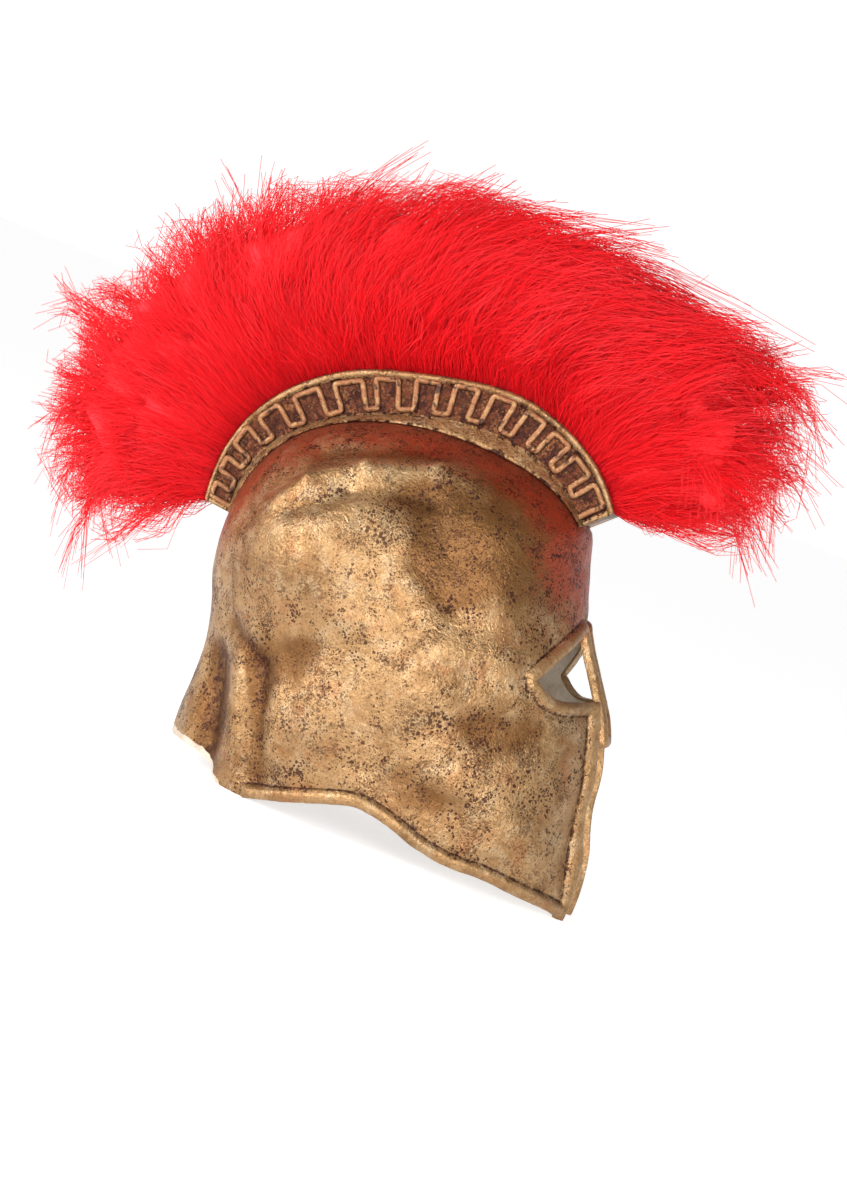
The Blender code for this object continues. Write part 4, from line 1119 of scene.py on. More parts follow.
def holder_paint(settings):
    """Gold foot and border, with dark paint rubbed into the field behind the line."""
    sheet = NodeSheet("crest_holder_paint")
    tone, spots = bronze_layers(sheet, settings, 0.60)
    tone = sheet.mix(spots, tone, settings.dark)
    broken = sheet.noise(0.0030, 3.0, 0.7, 0.6, (2.0, 7.0, 1.0))
    dull = sheet.coat(settings.red_brown, settings.dark, broken, 0.42, 0.60)
    tone = sheet.coat(tone, dull, sheet.frayed("crease", broken, 0.55), 0.52, 0.98, 0.96)
    patch = sheet.ramp(sheet.noise(0.0075, 3.0, 0.7, 0.8, (5.0, 2.0, 8.0)), 0.47, 0.58)
    edge = sheet.ramp(sheet.attribute("crease"), 0.02, 0.16)
    tone = sheet.mix(sheet.product(patch, edge), tone, settings.dark)
    flecks = dots(sheet, (8.2, 0.7, 3.6), 0.0014, 0.010, 0.40, 0.22)
    tone = sheet.mix(sheet.product(flecks, 0.6), tone, settings.brown)
    rough = sheet.ramp(sheet.noise(0.008, 3.0, 0.6), 0.3, 0.7, 0.34, 0.52)
    return sheet.finish(Base_Color=tone, Roughness=rough, Metallic=0.7,
                        Specular_IOR_Level=0.1, Normal=bronze_bump(sheet))


def line_paint(settings):
    """Copper gold of the raised line, with black paint in patches and at its corners, and painted shade
    darkening its foot where it meets the band.
    """
    sheet = NodeSheet("key_line_paint")
    rub = sheet.noise(0.0040, 4.0, 0.65, 0.7)
    tone = sheet.coat(settings.copper, settings.gold, rub, 0.44, 0.72)
    worn = sheet.noise(0.0085, 3.0, 0.7, 0.8, (5.0, 2.0, 8.0))
    tone = sheet.coat(tone, settings.dark, worn, 0.54, 0.66, 0.9)
    # painted shade: darker where the cord meets the band
    tone = sheet.coat(tone, settings.dark, sheet.attribute("crease"), 0.20, 0.75, 0.92)
    return sheet.finish(Base_Color=tone, Roughness=0.44, Metallic=0.5,
                        Specular_IOR_Level=0.3, Normal=bronze_bump(sheet))


def fur_paint(settings):
    """Red fibre: deeper red at the root as painted shade in the pile, bright along its length, and
    paler at the tip and in streaks as painted sheen and light shining through.
    """
    sheet = NodeSheet("red_fibre_paint")
    along = sheet.attribute("along")
    shade = sheet.attribute("shade")
    # painted shade: deeper red towards the root, down in the pile
    tone = sheet.coat(settings.root_red, settings.red, along, 0.0, 0.22)
    # deeper red in low-toned locks; the tone is lower towards the front as painted shade
    tone = sheet.coat(tone, settings.root_red, shade, 0.25, 0.0, 0.55)
    # painted sheen: pale streaks along the middle of high-toned locks
    pale = sheet.product(sheet.ramp(shade, 0.55, 1.0), sheet.ramp(along, 0.15, 0.55), 0.45)
    tone = sheet.mix(pale, tone, settings.tip_pink)
    # painted light: paler tips, as if light shone through them
    tone = sheet.coat(tone, settings.tip_pink, along, 0.70, 1.0, 0.55)
    material = sheet.finish(Base_Color=tone, Roughness=0.5, Specular_IOR_Level=0.25)
    glow = sheet.node("ShaderNodeBsdfTranslucent", {"Color": tone})
    both = sheet.node("ShaderNodeMixShader", {
        0: FIBRE_GLOW, 1: sheet.shader.outputs["BSDF"], 2: glow.outputs["BSDF"]})
    sheet.feed(sheet.tree.nodes["Material Output"].inputs["Surface"], both.outputs["Shader"])
    return material


def undercoat_paint(settings):
    """Dense pile under the long fibres, streaked from its root to its tips."""
    sheet = NodeSheet("red_undercoat_paint")
    combed = sheet.attribute("combed", "Vector")
    streaks = sheet.noise(1.0, 3.0, 0.7, 0.3, combed)
    hairs = sheet.noise(0.30, 2.0, 0.7, 0.0, combed)
    tone = sheet.coat(settings.root_red, settings.red, streaks, 0.36, 0.60)
    # painted highlight: pale pink streaks on the undercoat
    tone = sheet.coat(tone, settings.tip_pink, hairs, 0.50, 0.68, 0.6)
    return sheet.finish(Base_Color=tone, Roughness=0.75, Normal=sheet.bump(streaks, 1.0, 0.0020))


# Building of meshes and pieces.

def store_values(mesh, label, values):
    """Store a number or a vector on each point of a mesh."""
    values = np.asarray(values, dtype=np.float32)
    kind, field = ("FLOAT", "value") if values.ndim == 1 else ("FLOAT_VECTOR", "vector")
    layer = mesh.attributes.new(label, kind, "POINT")
    layer.data.foreach_set(field, values.ravel())


def plain_mesh(name, points, edges=(), faces=(), paint=None):
    """A mesh with values stored on its points."""
    mesh = bpy.data.meshes.new(name)
    mesh.from_pydata([tuple(point) for point in points], list(edges), [tuple(face) for face in faces])
    mesh.validate()
    for label, values in (paint or {}).items():
        store_values(mesh, label, values)
    return mesh


def closed_mesh(name, points, faces, paint):
    """A closed mesh whose faces all point outwards."""
    mesh = plain_mesh(name, points, faces=faces, paint=paint)
    work = bmesh.new()
    work.from_mesh(mesh)
    bmesh.ops.recalc_face_normals(work, faces=work.faces)
    work.to_mesh(mesh)
    work.free()
    return mesh


def add_object(name, data):
    """Put a mesh, a light or a camera in the scene."""
    added = bpy.data.objects.new(name, data)
    bpy.context.collection.objects.link(added)
    return added


def finished_piece(name, mesh, paint, nodes, sharp=None):
    """Put a mesh in the scene as a piece that rides on the body and stands for its nodes."""
    mesh.materials.clear()
    mesh.materials.append(paint)
    mesh.shade_smooth()
    if sharp is not None:
        mesh.set_sharp_from_angle(angle=math.radians(sharp))
    piece = add_object(name, mesh)
    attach(piece, BODY)
    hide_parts(*nodes)
    return piece


class NodePath(NodeTree):
    """A Geometry Nodes tree with named inputs, put on an object and read back as a mesh."""

    def __init__(self, name):
        super().__init__(bpy.data.node_groups.new(name, "GeometryNodeTree"))
        for side in ("INPUT", "OUTPUT"):
            self.tree.interface.new_socket("Geometry", in_out=side, socket_type="NodeSocketGeometry")
        self.source = self.node("NodeGroupInput")
        self.target = self.node("NodeGroupOutput")
        self.values = {}

    def input(self, name, kind, value):
        """Add a named input with the value that it gets on the modifier."""
        item = self.tree.interface.new_socket(name, in_out="INPUT", socket_type=kind)
        self.values[item.identifier] = value
        return self.source.outputs[item.identifier]

    def named(self, label, data_type="FLOAT"):
        """A value that is stored on the geometry."""
        return self.node("GeometryNodeInputNamedAttribute", {"Name": label},
                         data_type=data_type).outputs["Attribute"]

    def store(self, geometry, label, value, data_type="FLOAT"):
        """Store a value on each point of the geometry."""
        node = self.node("GeometryNodeStoreNamedAttribute",
                         {"Geometry": geometry, "Name": label, "Value": value},
                         data_type=data_type, domain="POINT")
        return node.outputs["Geometry"]

    def scaled(self, vector, part):
        node = self.node("ShaderNodeVectorMath", {"Vector": vector, "Scale": part}, operation="SCALE")
        return node.outputs["Vector"]

    def added(self, total, *vectors):
        for vector in vectors:
            node = self.node("ShaderNodeVectorMath", {0: total, 1: vector}, operation="ADD")
            total = node.outputs["Vector"]
        return total

    def random(self, low, high, identity, seed):
        """A draw between two numbers or two vectors, its own for each identity."""
        kind, ending = ("FLOAT_VECTOR", "") if isinstance(low, tuple) else ("FLOAT", "_001")
        node = self.node("FunctionNodeRandomValue", {"ID": identity, "Seed": seed}, data_type=kind)
        sockets = {socket.identifier: socket for socket in (*node.inputs, *node.outputs)}
        self.feed(sockets["Min" + ending], low)
        self.feed(sockets["Max" + ending], high)
        return sockets["Value" + ending]

    def curve_tube(self, curve, radius, sides, thickness, caps):
        """A tube round a curve, with its radius varied along it."""
        thick = self.node("GeometryNodeSetCurveRadius", {"Curve": curve, "Radius": thickness})
        profile = self.node("GeometryNodeCurvePrimitiveCircle",
                            {"Resolution": sides, "Radius": radius}, mode="RADIUS")
        tube = self.node("GeometryNodeCurveToMesh", {
            "Curve": thick.outputs["Curve"], "Profile Curve": profile.outputs["Curve"],
            "Fill Caps": caps})
        return tube.outputs["Mesh"]

    def grow(self, mesh, name, geometry, paint):
        """End the tree, run it on a mesh and return the result as a plain mesh."""
        real = self.node("GeometryNodeRealizeInstances", {"Geometry": geometry})
        painted = self.node("GeometryNodeSetMaterial",
                            {"Geometry": real.outputs["Geometry"], "Material": paint})
        self.feed(self.target.inputs["Geometry"], painted.outputs["Geometry"])
        carrier = add_object(name + "_guides", mesh)
        modifier = carrier.modifiers.new(self.tree.name, "NODES")
        modifier.node_group = self.tree
        for identifier, value in self.values.items():
            modifier[identifier] = value
        bpy.context.view_layer.update()
        seen = carrier.evaluated_get(bpy.context.evaluated_depsgraph_get())
        grown = bpy.data.meshes.new_from_object(seen)
        carrier.modifiers.remove(modifier)
        bpy.data.objects.remove(carrier)
        bpy.data.meshes.remove(mesh)
        bpy.data.node_groups.remove(self.tree)
        grown.name = name
        return grown


def tube_faces(columns, ring):
    """Quads round a run of rings, with a face across each end."""
    faces = []
    for column in range(columns - 1):
        start, after = column * ring, (column + 1) * ring
        for step in range(ring):
            turn = (step + 1) % ring
            faces.append((start + step, start + turn, after + turn, after + step))
    faces.append(tuple(range(ring)))
    faces.append(tuple(range((columns - 1) * ring, columns * ring)))
    return faces


# The crest holder.

def holder_columns():
    """Angles along the holder and how far its rounded ends are drawn in there."""
    edge = HOLDER_END_ROUND / ARCH[0].rim
    first, last = math.radians(HOLDER_FRONT), math.radians(HOLDER_REAR)
    turns = np.linspace(0, math.pi / 2, HOLDER_END_STEPS)
    run = edge * (1 - np.cos(turns))
    inset = HOLDER_END_ROUND * (1 - np.sin(turns))
    middle = np.linspace(first + edge, last - edge, HOLDER_COLUMNS)[1:-1]
    angle = np.concatenate([first + run, middle, (last - run)[::-1]])
    return angle, np.concatenate([inset, np.zeros(len(middle)), inset[::-1]])


def holder_section(angle, inset):
    """One side of the section, from under the foot to the channel's middle: side, radius, dark."""
    to_end = np.minimum(np.degrees(angle) - HOLDER_FRONT, HOLDER_REAR - np.degrees(angle))
    plain_end = 1 - smooth_part(to_end, *FIELD_END)
    rim = rim_radius(angle) - inset
    foot = shell_radius(angle, HOLDER_FOOT_HALF) + HOLDER_GAP
    rows = []
    for part in UNDER_PARTS:
        side = HOLDER_FOOT_HALF * part
        rows.append((side, shell_radius(angle, side) + HOLDER_GAP, 0.0))
    border = max(row.half for row in BAND[-5:])
    key_middles = [(key.front + key.rear) / 2 for key in KEYS]
    ledge = np.interp(np.degrees(angle), key_middles, [key.low for key in KEYS]) - KEY_FOOT_GAP
    for row in BAND:
        sunk = row.dark > 0.5 and row.height > 0.1
        half = row.half + (border - row.half) * plain_end * sunk
        height = np.where(row.height <= FIELD_FLOOR, row.height * ledge / FIELD_FLOOR,
                          1 - (1 - row.height) * (1 - ledge) / (1 - FIELD_FLOOR))
        rows.append((half - inset, foot + (rim - foot) * height, row.dark * (1 - plain_end * sunk)))
    rows.append((CHANNEL_HALF, rim - LIP_DROP, LIP_DARK))
    for part in (1.0, 0.5, 0.0):
        side = CHANNEL_HALF * part
        floor = shell_radius(angle, side) + CHANNEL_FLOOR
        rows.append((side, np.where(to_end < HOLDER_END_WALL, rim - 2 * LIP_DROP, floor), 1.0))
    return [np.stack([value + 0 * angle for value in values], axis=1) for values in zip(*rows)]


def holder_mesh():
    """The channel's side walls with their border, foot and sunk field, closed at both ends."""
    angle, inset = holder_columns()
    side, radius, dark = holder_section(angle, inset)
    last = side.shape[1] - 1
    ring = list(range(last + 1)) + list(range(last - 1, 0, -1))
    flip = np.array([1.0] * (last + 1) + [-1.0] * (last - 1))
    side, radius, dark = side[:, ring] * flip, radius[:, ring], dark[:, ring]
    points = arch_points(angle[:, None], radius, side)
    wobble, grain = (lattice_noise(points.reshape(-1, 3), size, seed).reshape(radius.shape)
                     for size, seed in HOLDER_LUMPS)
    points[..., 1] += np.sign(side) * (wobble * HOLDER_WOBBLE + grain * HOLDER_WOBBLE * 0.5)
    faces = tube_faces(len(angle), len(ring))
    return closed_mesh("crest_holder_band", to_world(points.reshape(-1, 3)), faces,
                       {"crease": dark.ravel()})


def key_path(flank):
    """Corners of the square wave on one flank of the holder, as a mesh of joined edges."""
    corners = []
    for key in KEYS:
        corners += [(key.front, key.low), (key.front, key.high),
                    (key.rear, key.high), (key.rear, key.low)]
    corners[0] = (KEYS[0].front, KEY_FOOT)
    corners[-1] = (KEYS[-1].rear, KEY_FOOT)
    angle, height = np.array(corners).T
    angle = np.radians(angle)
    points = arch_points(angle, band_radius(angle, height), flank * HOLDER_HALF)
    return plain_mesh("key_path", to_world(points), [(i, i + 1) for i in range(len(corners) - 1)])


def key_line_mesh(name, flank, settings, paint):
    """A round cord half sunk in the holder, that follows the square wave."""
    path = NodePath("key_line")
    radius = path.input("Cord Radius", "NodeSocketFloat", settings.line_radius)
    corner = path.input("Corner Radius", "NodeSocketFloat", settings.line_corner)
    step = path.input("Step Along", "NodeSocketFloat", KEY_STEP)
    uneven = path.input("Unevenness", "NodeSocketFloat", KEY_UNEVEN)
    curve = path.node("GeometryNodeMeshToCurve", {"Mesh": path.source.outputs["Geometry"]})
    rounded = path.node("GeometryNodeFilletCurve", {
        "Curve": curve.outputs["Curve"], "Count": 3, "Radius": corner, "Limit Radius": True},
        mode="POLY")
    even = path.node("GeometryNodeResampleCurve", {
        "Curve": rounded.outputs["Curve"], "Length": step}, mode="LENGTH")
    noise = path.node("ShaderNodeTexNoise", {"Scale": 1 / KEY_WAVE, "Detail": 2.0})
    centred = path.node("ShaderNodeVectorMath", {0: noise.outputs["Color"], 1: (0.5, 0.5, 0.5)},
                        operation="SUBTRACT")
    shaken = path.node("GeometryNodeSetPosition", {
        "Geometry": even.outputs["Curve"],
        "Offset": path.scaled(centred.outputs["Vector"], uneven)})
    swell = path.math("MULTIPLY_ADD", noise.outputs["Fac"], 0.5, 0.75)
    cord = path.curve_tube(shaken.outputs["Geometry"], radius, KEY_SIDES, swell, True)
    mesh = path.grow(key_path(flank), name, cord, paint)
    places = np.empty(len(mesh.vertices) * 3, dtype=np.float32)
    mesh.vertices.foreach_get("co", places)
    # painted shade: the cord is marked darker towards where it meets the band
    rise = np.abs(places[::3]) - HOLDER_HALF
    store_values(mesh, "crease", np.clip(1 - rise / settings.line_radius, 0, 1))
    return mesh


# The plume.

def plume_points(angle, across, part):
    """Points of the plume's envelope: root angle in degrees, -1 to 1 across, 0 to 1 outwards."""
    tip_forward, tip_up, half = (read_curve(LOCK_CURVE, angle, column) for column in (1, 2, 3))
    turn = np.radians(angle)
    outward = np.stack([np.cos(turn), np.sin(turn)], axis=-1)
    base = np.array(CREST_CENTRE) + outward * (rim_radius(turn) + LOCK_ROOT_RISE)[..., None]
    tip = np.stack([tip_forward, tip_up], axis=-1)
    length = np.linalg.norm(tip - base, axis=-1, keepdims=True)
    belly = base + outward * length * LOCK_BELLY
    p = np.asarray(part)[..., None]
    middle = base * (1 - p) ** 2 + belly * 2 * p * (1 - p) + tip * p ** 2
    side = across * half * read_curve(WIDTH_CURVE, part)
    return np.stack([middle[..., 0], side, middle[..., 1]], axis=-1)


def undercoat_mesh():
    """Body of the plume inside its long fibres, with values that comb its colour."""
    angle = np.linspace(LOCKS[0].root, LOCKS[-1].root, UNDERCOAT_COLUMNS)
    part = np.linspace(0, UNDERCOAT_REACH, UNDERCOAT_ROWS)
    flank = np.ones(len(part))
    crown_across, crown_part = np.array(UNDERCOAT_CROWN).T
    crown_part = crown_part * UNDERCOAT_REACH
    across = np.concatenate([flank, crown_across, -crown_across[::-1], -flank]) * UNDERCOAT_WIDTH
    along = np.concatenate([part, crown_part, crown_part[::-1], part[::-1]])
    grid_angle, grid_across = np.meshgrid(angle, across, indexing="ij")
    grid_along = read_curve(FLOW_CURVE, angle, 3)[:, None] ** UNDERCOAT_TRIM * along
    turn = np.radians(grid_angle)
    seat = arch_points(turn, rim_radius(turn) - ROOT_DEPTH, np.sign(grid_across) * ROOT_HALF)
    points = plume_points(grid_angle, grid_across, grid_along)
    points = np.where((grid_along == 0)[..., None], seat, points)
    flat = points.reshape(-1, 3)
    ruffle = sum(lattice_noise(flat, size, seed) * height for size, height, seed in RUFFLES)
    flat[:, 1] += ruffle * (grid_along > RUFFLED_FROM).ravel() * np.sign(flat[:, 1])
    size, height, seed = RAGGED
    ragged = lattice_noise(flat, size, seed) * height * (grid_along > RAGGED_FROM).ravel()
    outward = np.stack([np.cos(turn), np.zeros(turn.shape), np.sin(turn)], axis=-1)
    flat += ragged[:, None] * outward.reshape(-1, 3)
    combed = np.stack([grid_angle * COMBED[0], grid_along * COMBED[1], grid_across], axis=-1)
    return closed_mesh("plume_undercoat", to_world(flat), tube_faces(len(angle), len(across)),
                       {"combed": combed.reshape(-1, 3)})


def shared_waves(points, waves):
    """Noise in three directions, which neighbouring points share."""
    shares = enumerate((1, waves.sideways, 1))
    return waves.reach * np.stack([lattice_noise(points, waves.size, waves.seed + step) * share
                                   for step, share in shares], axis=-1)


def layer_guides(layer, settings, draw):
    """Guides of one layer's locks: root angle, four Bezier points, spread and tone of each."""
    count = int(round(settings.locks * layer.share))
    angle = draw.uniform(layer.first, layer.last, count)
    across = draw.uniform(layer.across_low, layer.across_high, count) * draw.choice((-1, 1), count)
    reach = draw.uniform(layer.reach_low, layer.reach_high, count)
    lean, arch, kept = (read_curve(FLOW_CURVE, angle, column) for column in (1, 2, 3))
    reach = reach * kept
    arch = arch * draw.uniform(0.0, ARCH_MOST, count)
    drift = lean + draw.normal(0, LEAN_SCATTER, count)
    turn = np.radians(angle)
    root = arch_points(turn, rim_radius(turn) - ROOT_DEPTH, across * ROOT_HALF)
    if layer.start:
        root = plume_points(angle, across, layer.start)
    third, two_thirds, end = (
        plume_points(angle + drift * part ** 3 + arch * 4 * part * (1 - part), across, part)
        for part in (layer.start + (reach - layer.start) * step for step in (1 / 3, 2 / 3, 1.0)))
    wander = draw.normal(0, 1, (count, 3)) * WANDER_SHARES
    reach = reach[:, None]
    push = (shared_waves(end, WAVES) + wander * layer.scatter) * reach
    bend_size = BEND_REACH + layer.scatter * BEND_SCATTER
    bend = draw.normal(0, 1, (count, 3)) * BEND_SHARES * bend_size * reach
    tuft = shared_waves(end, TUFTS) * reach
    up = np.array((0, 0, 1.0))
    third = third + bend * 0.3 - up * layer.sag * SAG_START
    two_thirds = two_thirds + push * 0.25 + bend - tuft - up * layer.sag
    end = end + push + tuft - up * layer.droop * draw.uniform(0, 1, (count, 1))
    handle_a = (-5 * root + 18 * third - 9 * two_thirds + 2 * end) / 6
    handle_b = (2 * root - 9 * third + 18 * two_thirds - 5 * end) / 6
    spread_size = layer.spread * draw.uniform(*LOCK_WIDTHS, count)
    tone = 0.5 + TONE_PATCHES * lattice_noise(third, *TONE_NOISE) + draw.normal(0, TONE_SCATTER, count)
    # painted light: paler towards the rear, deeper red towards the front
    tone = np.clip(tone + (angle - 90) * PALER_REARWARD, 0, 1)
    return list(zip(angle, root, handle_a, handle_b, end, spread_size, tone))


def lock_guides(settings):
    """Guides of all the locks, from the front of the arch to its rear."""
    draw = np.random.default_rng(settings.seed)
    rows = []
    for layer in LAYERS:
        rows += layer_guides(layer, settings, draw)
    return sorted(rows, key=lambda row: row[0])


def guide_mesh(rows):
    """Loose points that carry the guides' values for the tree that grows the fibres."""
    low, high = (np.array(corner) for corner in CAD_BOX)
    room = (high - low) * 0.03 + 0.010 - STRAY_ROOM
    values = list(zip(*rows))
    bends = [np.clip(to_world(np.array(value)), low - room, high + room) for value in values[1:5]]
    paint = dict(zip(GUIDE_VALUES, bends + [np.array(value) for value in values[5:]]))
    return plain_mesh("lock_guides", bends[0], paint=paint)


def fibre_place(path, u, number, stray, curl, seed):
    """Where a fibre's point lies at a part of its length, round its lock's Bezier guide."""
    v = path.math("SUBTRACT", 1.0, u)
    weights = (path.math("POWER", v, 3.0), path.product(v, v, u, 3.0),
               path.product(u, u, v, 3.0), path.math("POWER", u, 3.0))
    guide = path.added(*(path.scaled(path.named(label, "FLOAT_VECTOR"), weight)
                         for label, weight in zip(GUIDE_VALUES, weights)))

    def own(step, most=(1, 1, 1)):
        low = tuple(-part for part in most)
        return path.random(low, most, number, path.math("ADD", seed, step))

    full = path.math("MULTIPLY_ADD", u, FULL_GROWTH, FULL_AT_ROOT)
    full = path.math("MULTIPLY_ADD", path.product(u, v), FULL_SWELLING, full)
    wave = path.product(u, v, path.math("SUBTRACT", v, u), curl, CURL_SCALE)
    return path.added(
        guide, path.scaled(own(1.0, FULL_SHARES), path.product(path.named("spread"), full)),
        path.scaled(own(2.0), path.product(u, u, stray)), path.scaled(own(4.0), wave))


def fibre_mesh(name, rows, settings, paint):
    """Tapered fibres that follow their lock's guide, grown with Geometry Nodes."""
    path = NodePath("fibre_locks")
    count = path.input("Fibres Per Lock", "NodeSocketInt", settings.fibres)
    radius = path.input("Root Radius", "NodeSocketFloat", settings.fibre_radius)
    stray = path.input("Stray", "NodeSocketFloat", settings.stray)
    curl = path.input("Curl", "NodeSocketFloat", settings.curl)
    seed = path.input("Seed", "NodeSocketInt", settings.seed)
    copies = path.node("GeometryNodeDuplicateElements", {
        "Geometry": path.source.outputs["Geometry"], "Amount": count}, domain="POINT")
    step = 1.0 / (FIBRE_POINTS - 1)
    line = path.node("GeometryNodeMeshLine", {"Count": FIBRE_POINTS, "Offset": (0.0, 0.0, step)},
                     mode="OFFSET", count_mode="TOTAL")
    order = path.node("GeometryNodeInputIndex").outputs["Index"]
    along = path.math("DIVIDE", order, float(FIBRE_POINTS - 1))
    marked = path.store(line.outputs["Mesh"], "along", along)
    numbered = path.store(copies.outputs["Geometry"], "number", order, "INT")
    placed = path.node("GeometryNodeInstanceOnPoints", {"Points": numbered, "Instance": marked})
    real = path.node("GeometryNodeRealizeInstances", {"Geometry": placed.outputs["Instances"]})
    number = path.named("number", "INT")
    along = path.named("along")
    u = path.product(along, path.random(FIBRE_SHORTEST, 1.0, number, seed))
    bent = path.node("GeometryNodeSetPosition", {
        "Geometry": real.outputs["Geometry"],
        "Position": fibre_place(path, u, number, stray, curl, seed)})
    own_tone = path.random(-FIBRE_TONE, FIBRE_TONE, number, path.math("ADD", seed, 3.0))
    shaded = path.store(bent.outputs["Geometry"], "shade",
                        path.math("ADD", path.named("tone"), own_tone))
    curve = path.node("GeometryNodeMeshToCurve", {"Mesh": shaded})
    thinner = path.product(path.math("POWER", along, TAPER_POWER), TAPER)
    tube = path.curve_tube(curve.outputs["Curve"], radius, FIBRE_SIDES,
                           path.math("SUBTRACT", 1.0, thinner), False)
    mesh = path.grow(guide_mesh(rows), name, tube, paint)
    for label in (*GUIDE_VALUES, "number"):
        if label in mesh.attributes:
            mesh.attributes.remove(mesh.attributes[label])
    return mesh


# What a user may change.

def colour(name, description, default):
    return FloatVectorProperty(name=name, description=description, default=default,
                               size=3, min=0, max=1, subtype="COLOR")


def length(name, description, default, least=0.0):
    return FloatProperty(name=name, description=description, default=default, min=least,
                         unit="LENGTH")


def power(name, description, default):
    return FloatProperty(name=name, description=description, default=default, min=0.0, unit="POWER")


class ShellSettings(bpy.types.PropertyGroup):
    wall: length("Wall", "Thickness of the latex wall", 0.0030, 0.001)
    gold: colour("Gold", "Rubbed gold of the raised places", (0.355, 0.210, 0.094))
    # brown also darkens the brow, and lies in the dents and broad patches as painted shade
    brown: colour("Brown", "Thin brown glaze over the gold", (0.142, 0.062, 0.018))
    copper: colour("Copper", "Warm copper in the glaze", (0.290, 0.105, 0.038))
    # red of the painted reflection of the plume beside the holder
    reflected_plume_red: colour("Reflected Plume Red", "Red glaze beside the crest holder", (0.290, 0.050, 0.022))
    # dark paint of the dots and rim creases, also laid in the dents as painted shade
    dark: colour("Dark Paint", "Paint of the sponged dots and creases", (0.038, 0.011, 0.007))
    raw_latex: colour("Raw Latex", "Unpainted latex inside and at the cut hem", (0.500, 0.430, 0.350))


class HolderSettings(bpy.types.PropertyGroup):
    line_radius: length("Line Radius", "Radius of the raised line", 0.00205, 0.0005)
    line_corner: length("Corner Radius", "Rounding of the line's corners", 0.0013)
    gold: colour("Gold", "Gold of the border and the foot", (0.345, 0.203, 0.090))
    brown: colour("Brown", "Brown glaze over the gold", (0.170, 0.072, 0.028))
    copper: colour("Copper", "Copper of the raised line", (0.245, 0.104, 0.045))
    red_brown: colour("Red Brown", "Lighter paint of the sunk field", (0.085, 0.021, 0.010))
    dark: colour("Dark Paint", "Paint rubbed into the field", (0.030, 0.010, 0.007))


class PlumeSettings(bpy.types.PropertyGroup):
    locks: IntProperty(name="Locks", description="Number of locks of fibre", default=1500, min=40)
    fibres: IntProperty(name="Fibres per Lock", description="Fibres that grow in one lock",
                        default=20, min=1)
    fibre_radius: length("Fibre Radius", "Radius of a fibre at its root", 0.00018, 0.00005)
    stray: length("Stray", "How far a fibre's tip strays from its lock", 0.0060)
    curl: length("Curl", "How far a fibre waves from side to side", 0.0034)
    seed: IntProperty(name="Seed", description="Seed of everything that is random in the plume",
                      default=8)
    red: colour("Red", "Colour along the fibres", (0.970, 0.018, 0.028))
    # root red is laid at the roots as painted shade
    root_red: colour("Root Red", "Colour at the roots and in the shaded locks", (0.780, 0.012, 0.020))
    # tip pink is laid at the tips and in streaks as painted sheen
    tip_pink: colour("Tip Pink", "Paler colour of the fibres' tips", (0.975, 0.066, 0.082))


class StageSettings(bpy.types.PropertyGroup):
    distance: length("Camera Distance", "From the camera to the helmet's middle", 2.0, 0.5)
    turn: FloatProperty(name="Camera Turn", description="How far the camera stands ahead of the side",
                        default=math.radians(10.0), subtype="ANGLE")
    key_power: power("Key Light", "Power of the large soft key light", 46.0)
    fill_power: power("Fill Light", "Power of the soft fill light", 50.0)
    sky: FloatProperty(name="Surroundings", description="Brightness of the white surroundings overhead",
                       default=0.32, min=0.0)


class HelmetSettings(bpy.types.PropertyGroup):
    shell: PointerProperty(type=ShellSettings, name="Shell", description="Latex shell")
    holder: PointerProperty(type=HolderSettings, name="Crest Holder", description="Crest holder")
    plume: PointerProperty(type=PlumeSettings, name="Plume", description="Fur plume")
    stage: PointerProperty(type=StageSettings, name="Stage", description="Floor, light and camera")


# The steps of building.

class BuildShell(bpy.types.Operator):
    """Build the latex shell with its rims, folds, cut hem and paint"""
    bl_idname = "helmet.build_shell"
    bl_label = "Build Shell"

    def execute(self, context):
        settings = context.scene.helmet.shell
        points, faces, paint = shell_mesh(settings.wall)
        mesh = plain_mesh("helmet_shell_latex", press_feet(to_world(points)), faces=faces, paint=paint)
        finished_piece("helmet_shell_latex", mesh, shell_paint(settings),
                       ["helmet_shell"], sharp=SHARP_TURN)
        return {"FINISHED"}


class BuildHolder(bpy.types.Operator):
    """Build the crest holder and the raised square wave on both of its flanks"""
    bl_idname = "helmet.build_holder"
    bl_label = "Build Crest Holder"

    def execute(self, context):
        settings = context.scene.helmet.holder
        finished_piece("crest_holder_band", holder_mesh(), holder_paint(settings),
                       ["crest_holder"], sharp=SHARP_TURN)
        paint = line_paint(settings)
        for name, flank in (("key_line_left", 1), ("key_line_right", -1)):
            mesh = key_line_mesh(name, flank, settings, paint)
            finished_piece(name, mesh, paint, ["crest_holder"])
        return {"FINISHED"}


class BuildPlume(bpy.types.Operator):
    """Build the plume: a dense undercoat and the long fibres that grow over it"""
    bl_idname = "helmet.build_plume"
    bl_label = "Build Plume"

    def execute(self, context):
        settings = context.scene.helmet.plume
        finished_piece("plume_undercoat", undercoat_mesh(), undercoat_paint(settings),
                       ["plume"])
        paint = fur_paint(settings)
        rows = lock_guides(settings)
        if not rows:
            raise RuntimeError("the plume has no locks")
        share = math.ceil(len(rows) / len(FUR_PIECES))
        for index, name in enumerate(FUR_PIECES):
            mesh = fibre_mesh(name, rows[index * share:(index + 1) * share], settings, paint)
            finished_piece(name, mesh, paint, ["plume"])
        return {"FINISHED"}


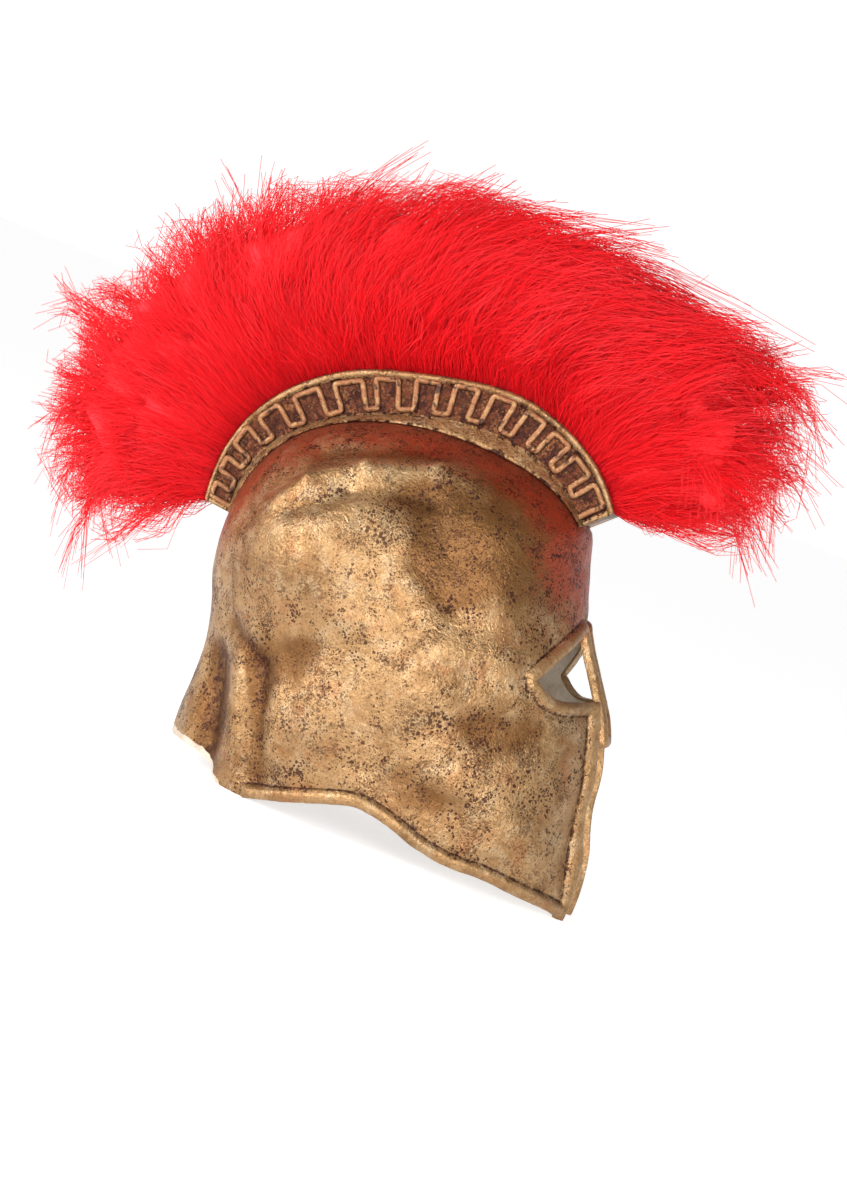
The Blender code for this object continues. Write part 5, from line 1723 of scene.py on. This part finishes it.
def add_floor():
    """White paper, with a little glow so that it stays white out to the horizon."""
    corners = [(x * FLOOR_REACH, y * FLOOR_REACH, 0) for x, y in ((-1, -1), (1, -1), (1, 1), (-1, 1))]
    mesh = plain_mesh("floor", corners, faces=[(0, 1, 2, 3)])
    paint = NodeSheet("white_floor").finish(
        Base_Color=FLOOR_WHITE, Roughness=0.8, Specular_IOR_Level=0.1,
        Emission_Color=(1.0, 1.0, 1.0), Emission_Strength=FLOOR_GLOW)
    mesh.materials.append(paint)
    floor = add_object("floor", mesh)


def white_surroundings(overhead):
    """White all round, brightest near the horizon, and dimmer overhead."""
    world = bpy.data.worlds.new("white_surroundings")
    world.use_nodes = True
    sheet = NodeTree(world.node_tree)
    direction = sheet.node("ShaderNodeTexCoord").outputs["Generated"]
    height = sheet.node("ShaderNodeSeparateXYZ", {"Vector": direction}).outputs["Z"]
    background = sheet.tree.nodes["Background"]
    sheet.feed(background.inputs["Color"], (1.0, 1.0, 1.0))
    sheet.feed(background.inputs["Strength"],
               sheet.ramp(height, *SKY_HEIGHTS, HORIZON_WHITE, overhead))
    return world


def add_light(name, place, size, energy):
    """A square soft light that faces the helmet."""
    lamp = bpy.data.lights.new(name, "AREA")
    lamp.shape = "RECTANGLE"
    lamp.size = lamp.size_y = size
    lamp.energy = energy
    light = add_object(name, lamp)
    light.location = place
    light.rotation_euler = (Vector(LIGHT_TARGET) - Vector(place)).to_track_quat("-Z", "Y").to_euler()


def add_camera(distance, turn):
    """The camera at the photograph's angle to the helmet, rolled as far as the helmet leans."""
    eye = Vector((-math.cos(turn), -math.sin(turn), 0.0)) * distance
    back = eye.normalized()
    up = Vector((0.0, 0.0, 1.0))
    local = Matrix((up.cross(back), up, back)).transposed().to_4x4()
    local.translation = eye
    lens = bpy.data.cameras.new("camera")
    lens.sensor_fit = "AUTO"
    lens.sensor_width = SENSOR_WIDTH
    lens.lens = SENSOR_WIDTH * distance / FRAME_HEIGHT
    camera = add_object("camera", lens)
    camera.matrix_world = helmet_matrix() @ local
    return camera


class BuildStage(bpy.types.Operator):
    """Lay the floor, hang the lights and set up the camera at the photograph's angle"""
    bl_idname = "helmet.build_stage"
    bl_label = "Build Stage"

    def execute(self, context):
        settings = context.scene.helmet.stage
        add_floor()
        context.scene.world = white_surroundings(settings.sky)
        add_light("key_light", KEY_LIGHT_PLACE, KEY_LIGHT_SIZE, settings.key_power)
        add_light("fill_light", FILL_LIGHT_PLACE, FILL_LIGHT_SIZE, settings.fill_power)
        context.scene.camera = add_camera(settings.distance, settings.turn)
        context.scene.view_settings.view_transform = "Standard"
        return {"FINISHED"}


class HELMET_PT_build(bpy.types.Panel):
    """Sizes, colours and build steps of the helmet"""
    bl_label = "Crested Helmet"
    bl_idname = "HELMET_PT_build"
    bl_space_type = "VIEW_3D"
    bl_region_type = "UI"
    bl_category = "Helmet"

    def draw(self, context):
        for step in STEPS:
            box = self.layout.box()
            box.operator(step.operator)
            group = getattr(context.scene.helmet, step.settings)
            for label in group.__annotations__:
                box.prop(group, label)


STEPS = table(
    "Step", "operator settings",
    ("helmet.build_stage", "stage"), ("helmet.build_shell", "shell"),
    ("helmet.build_holder", "holder"), ("helmet.build_plume", "plume"))
CLASSES = (ShellSettings, HolderSettings, PlumeSettings, StageSettings, HelmetSettings,
           BuildShell, BuildHolder, BuildPlume, BuildStage, HELMET_PT_build)


def register():
    for entry in CLASSES:
        bpy.utils.register_class(entry)
    bpy.types.Scene.helmet = PointerProperty(type=HelmetSettings)


def unregister():
    del bpy.types.Scene.helmet
    for entry in reversed(CLASSES):
        bpy.utils.unregister_class(entry)


def main():
    """Build everything in order."""
    register()
    for step in STEPS:
        group, name = step.operator.split(".")
        getattr(getattr(bpy.ops, group), name)()


if __name__ == "__main__":
    main()
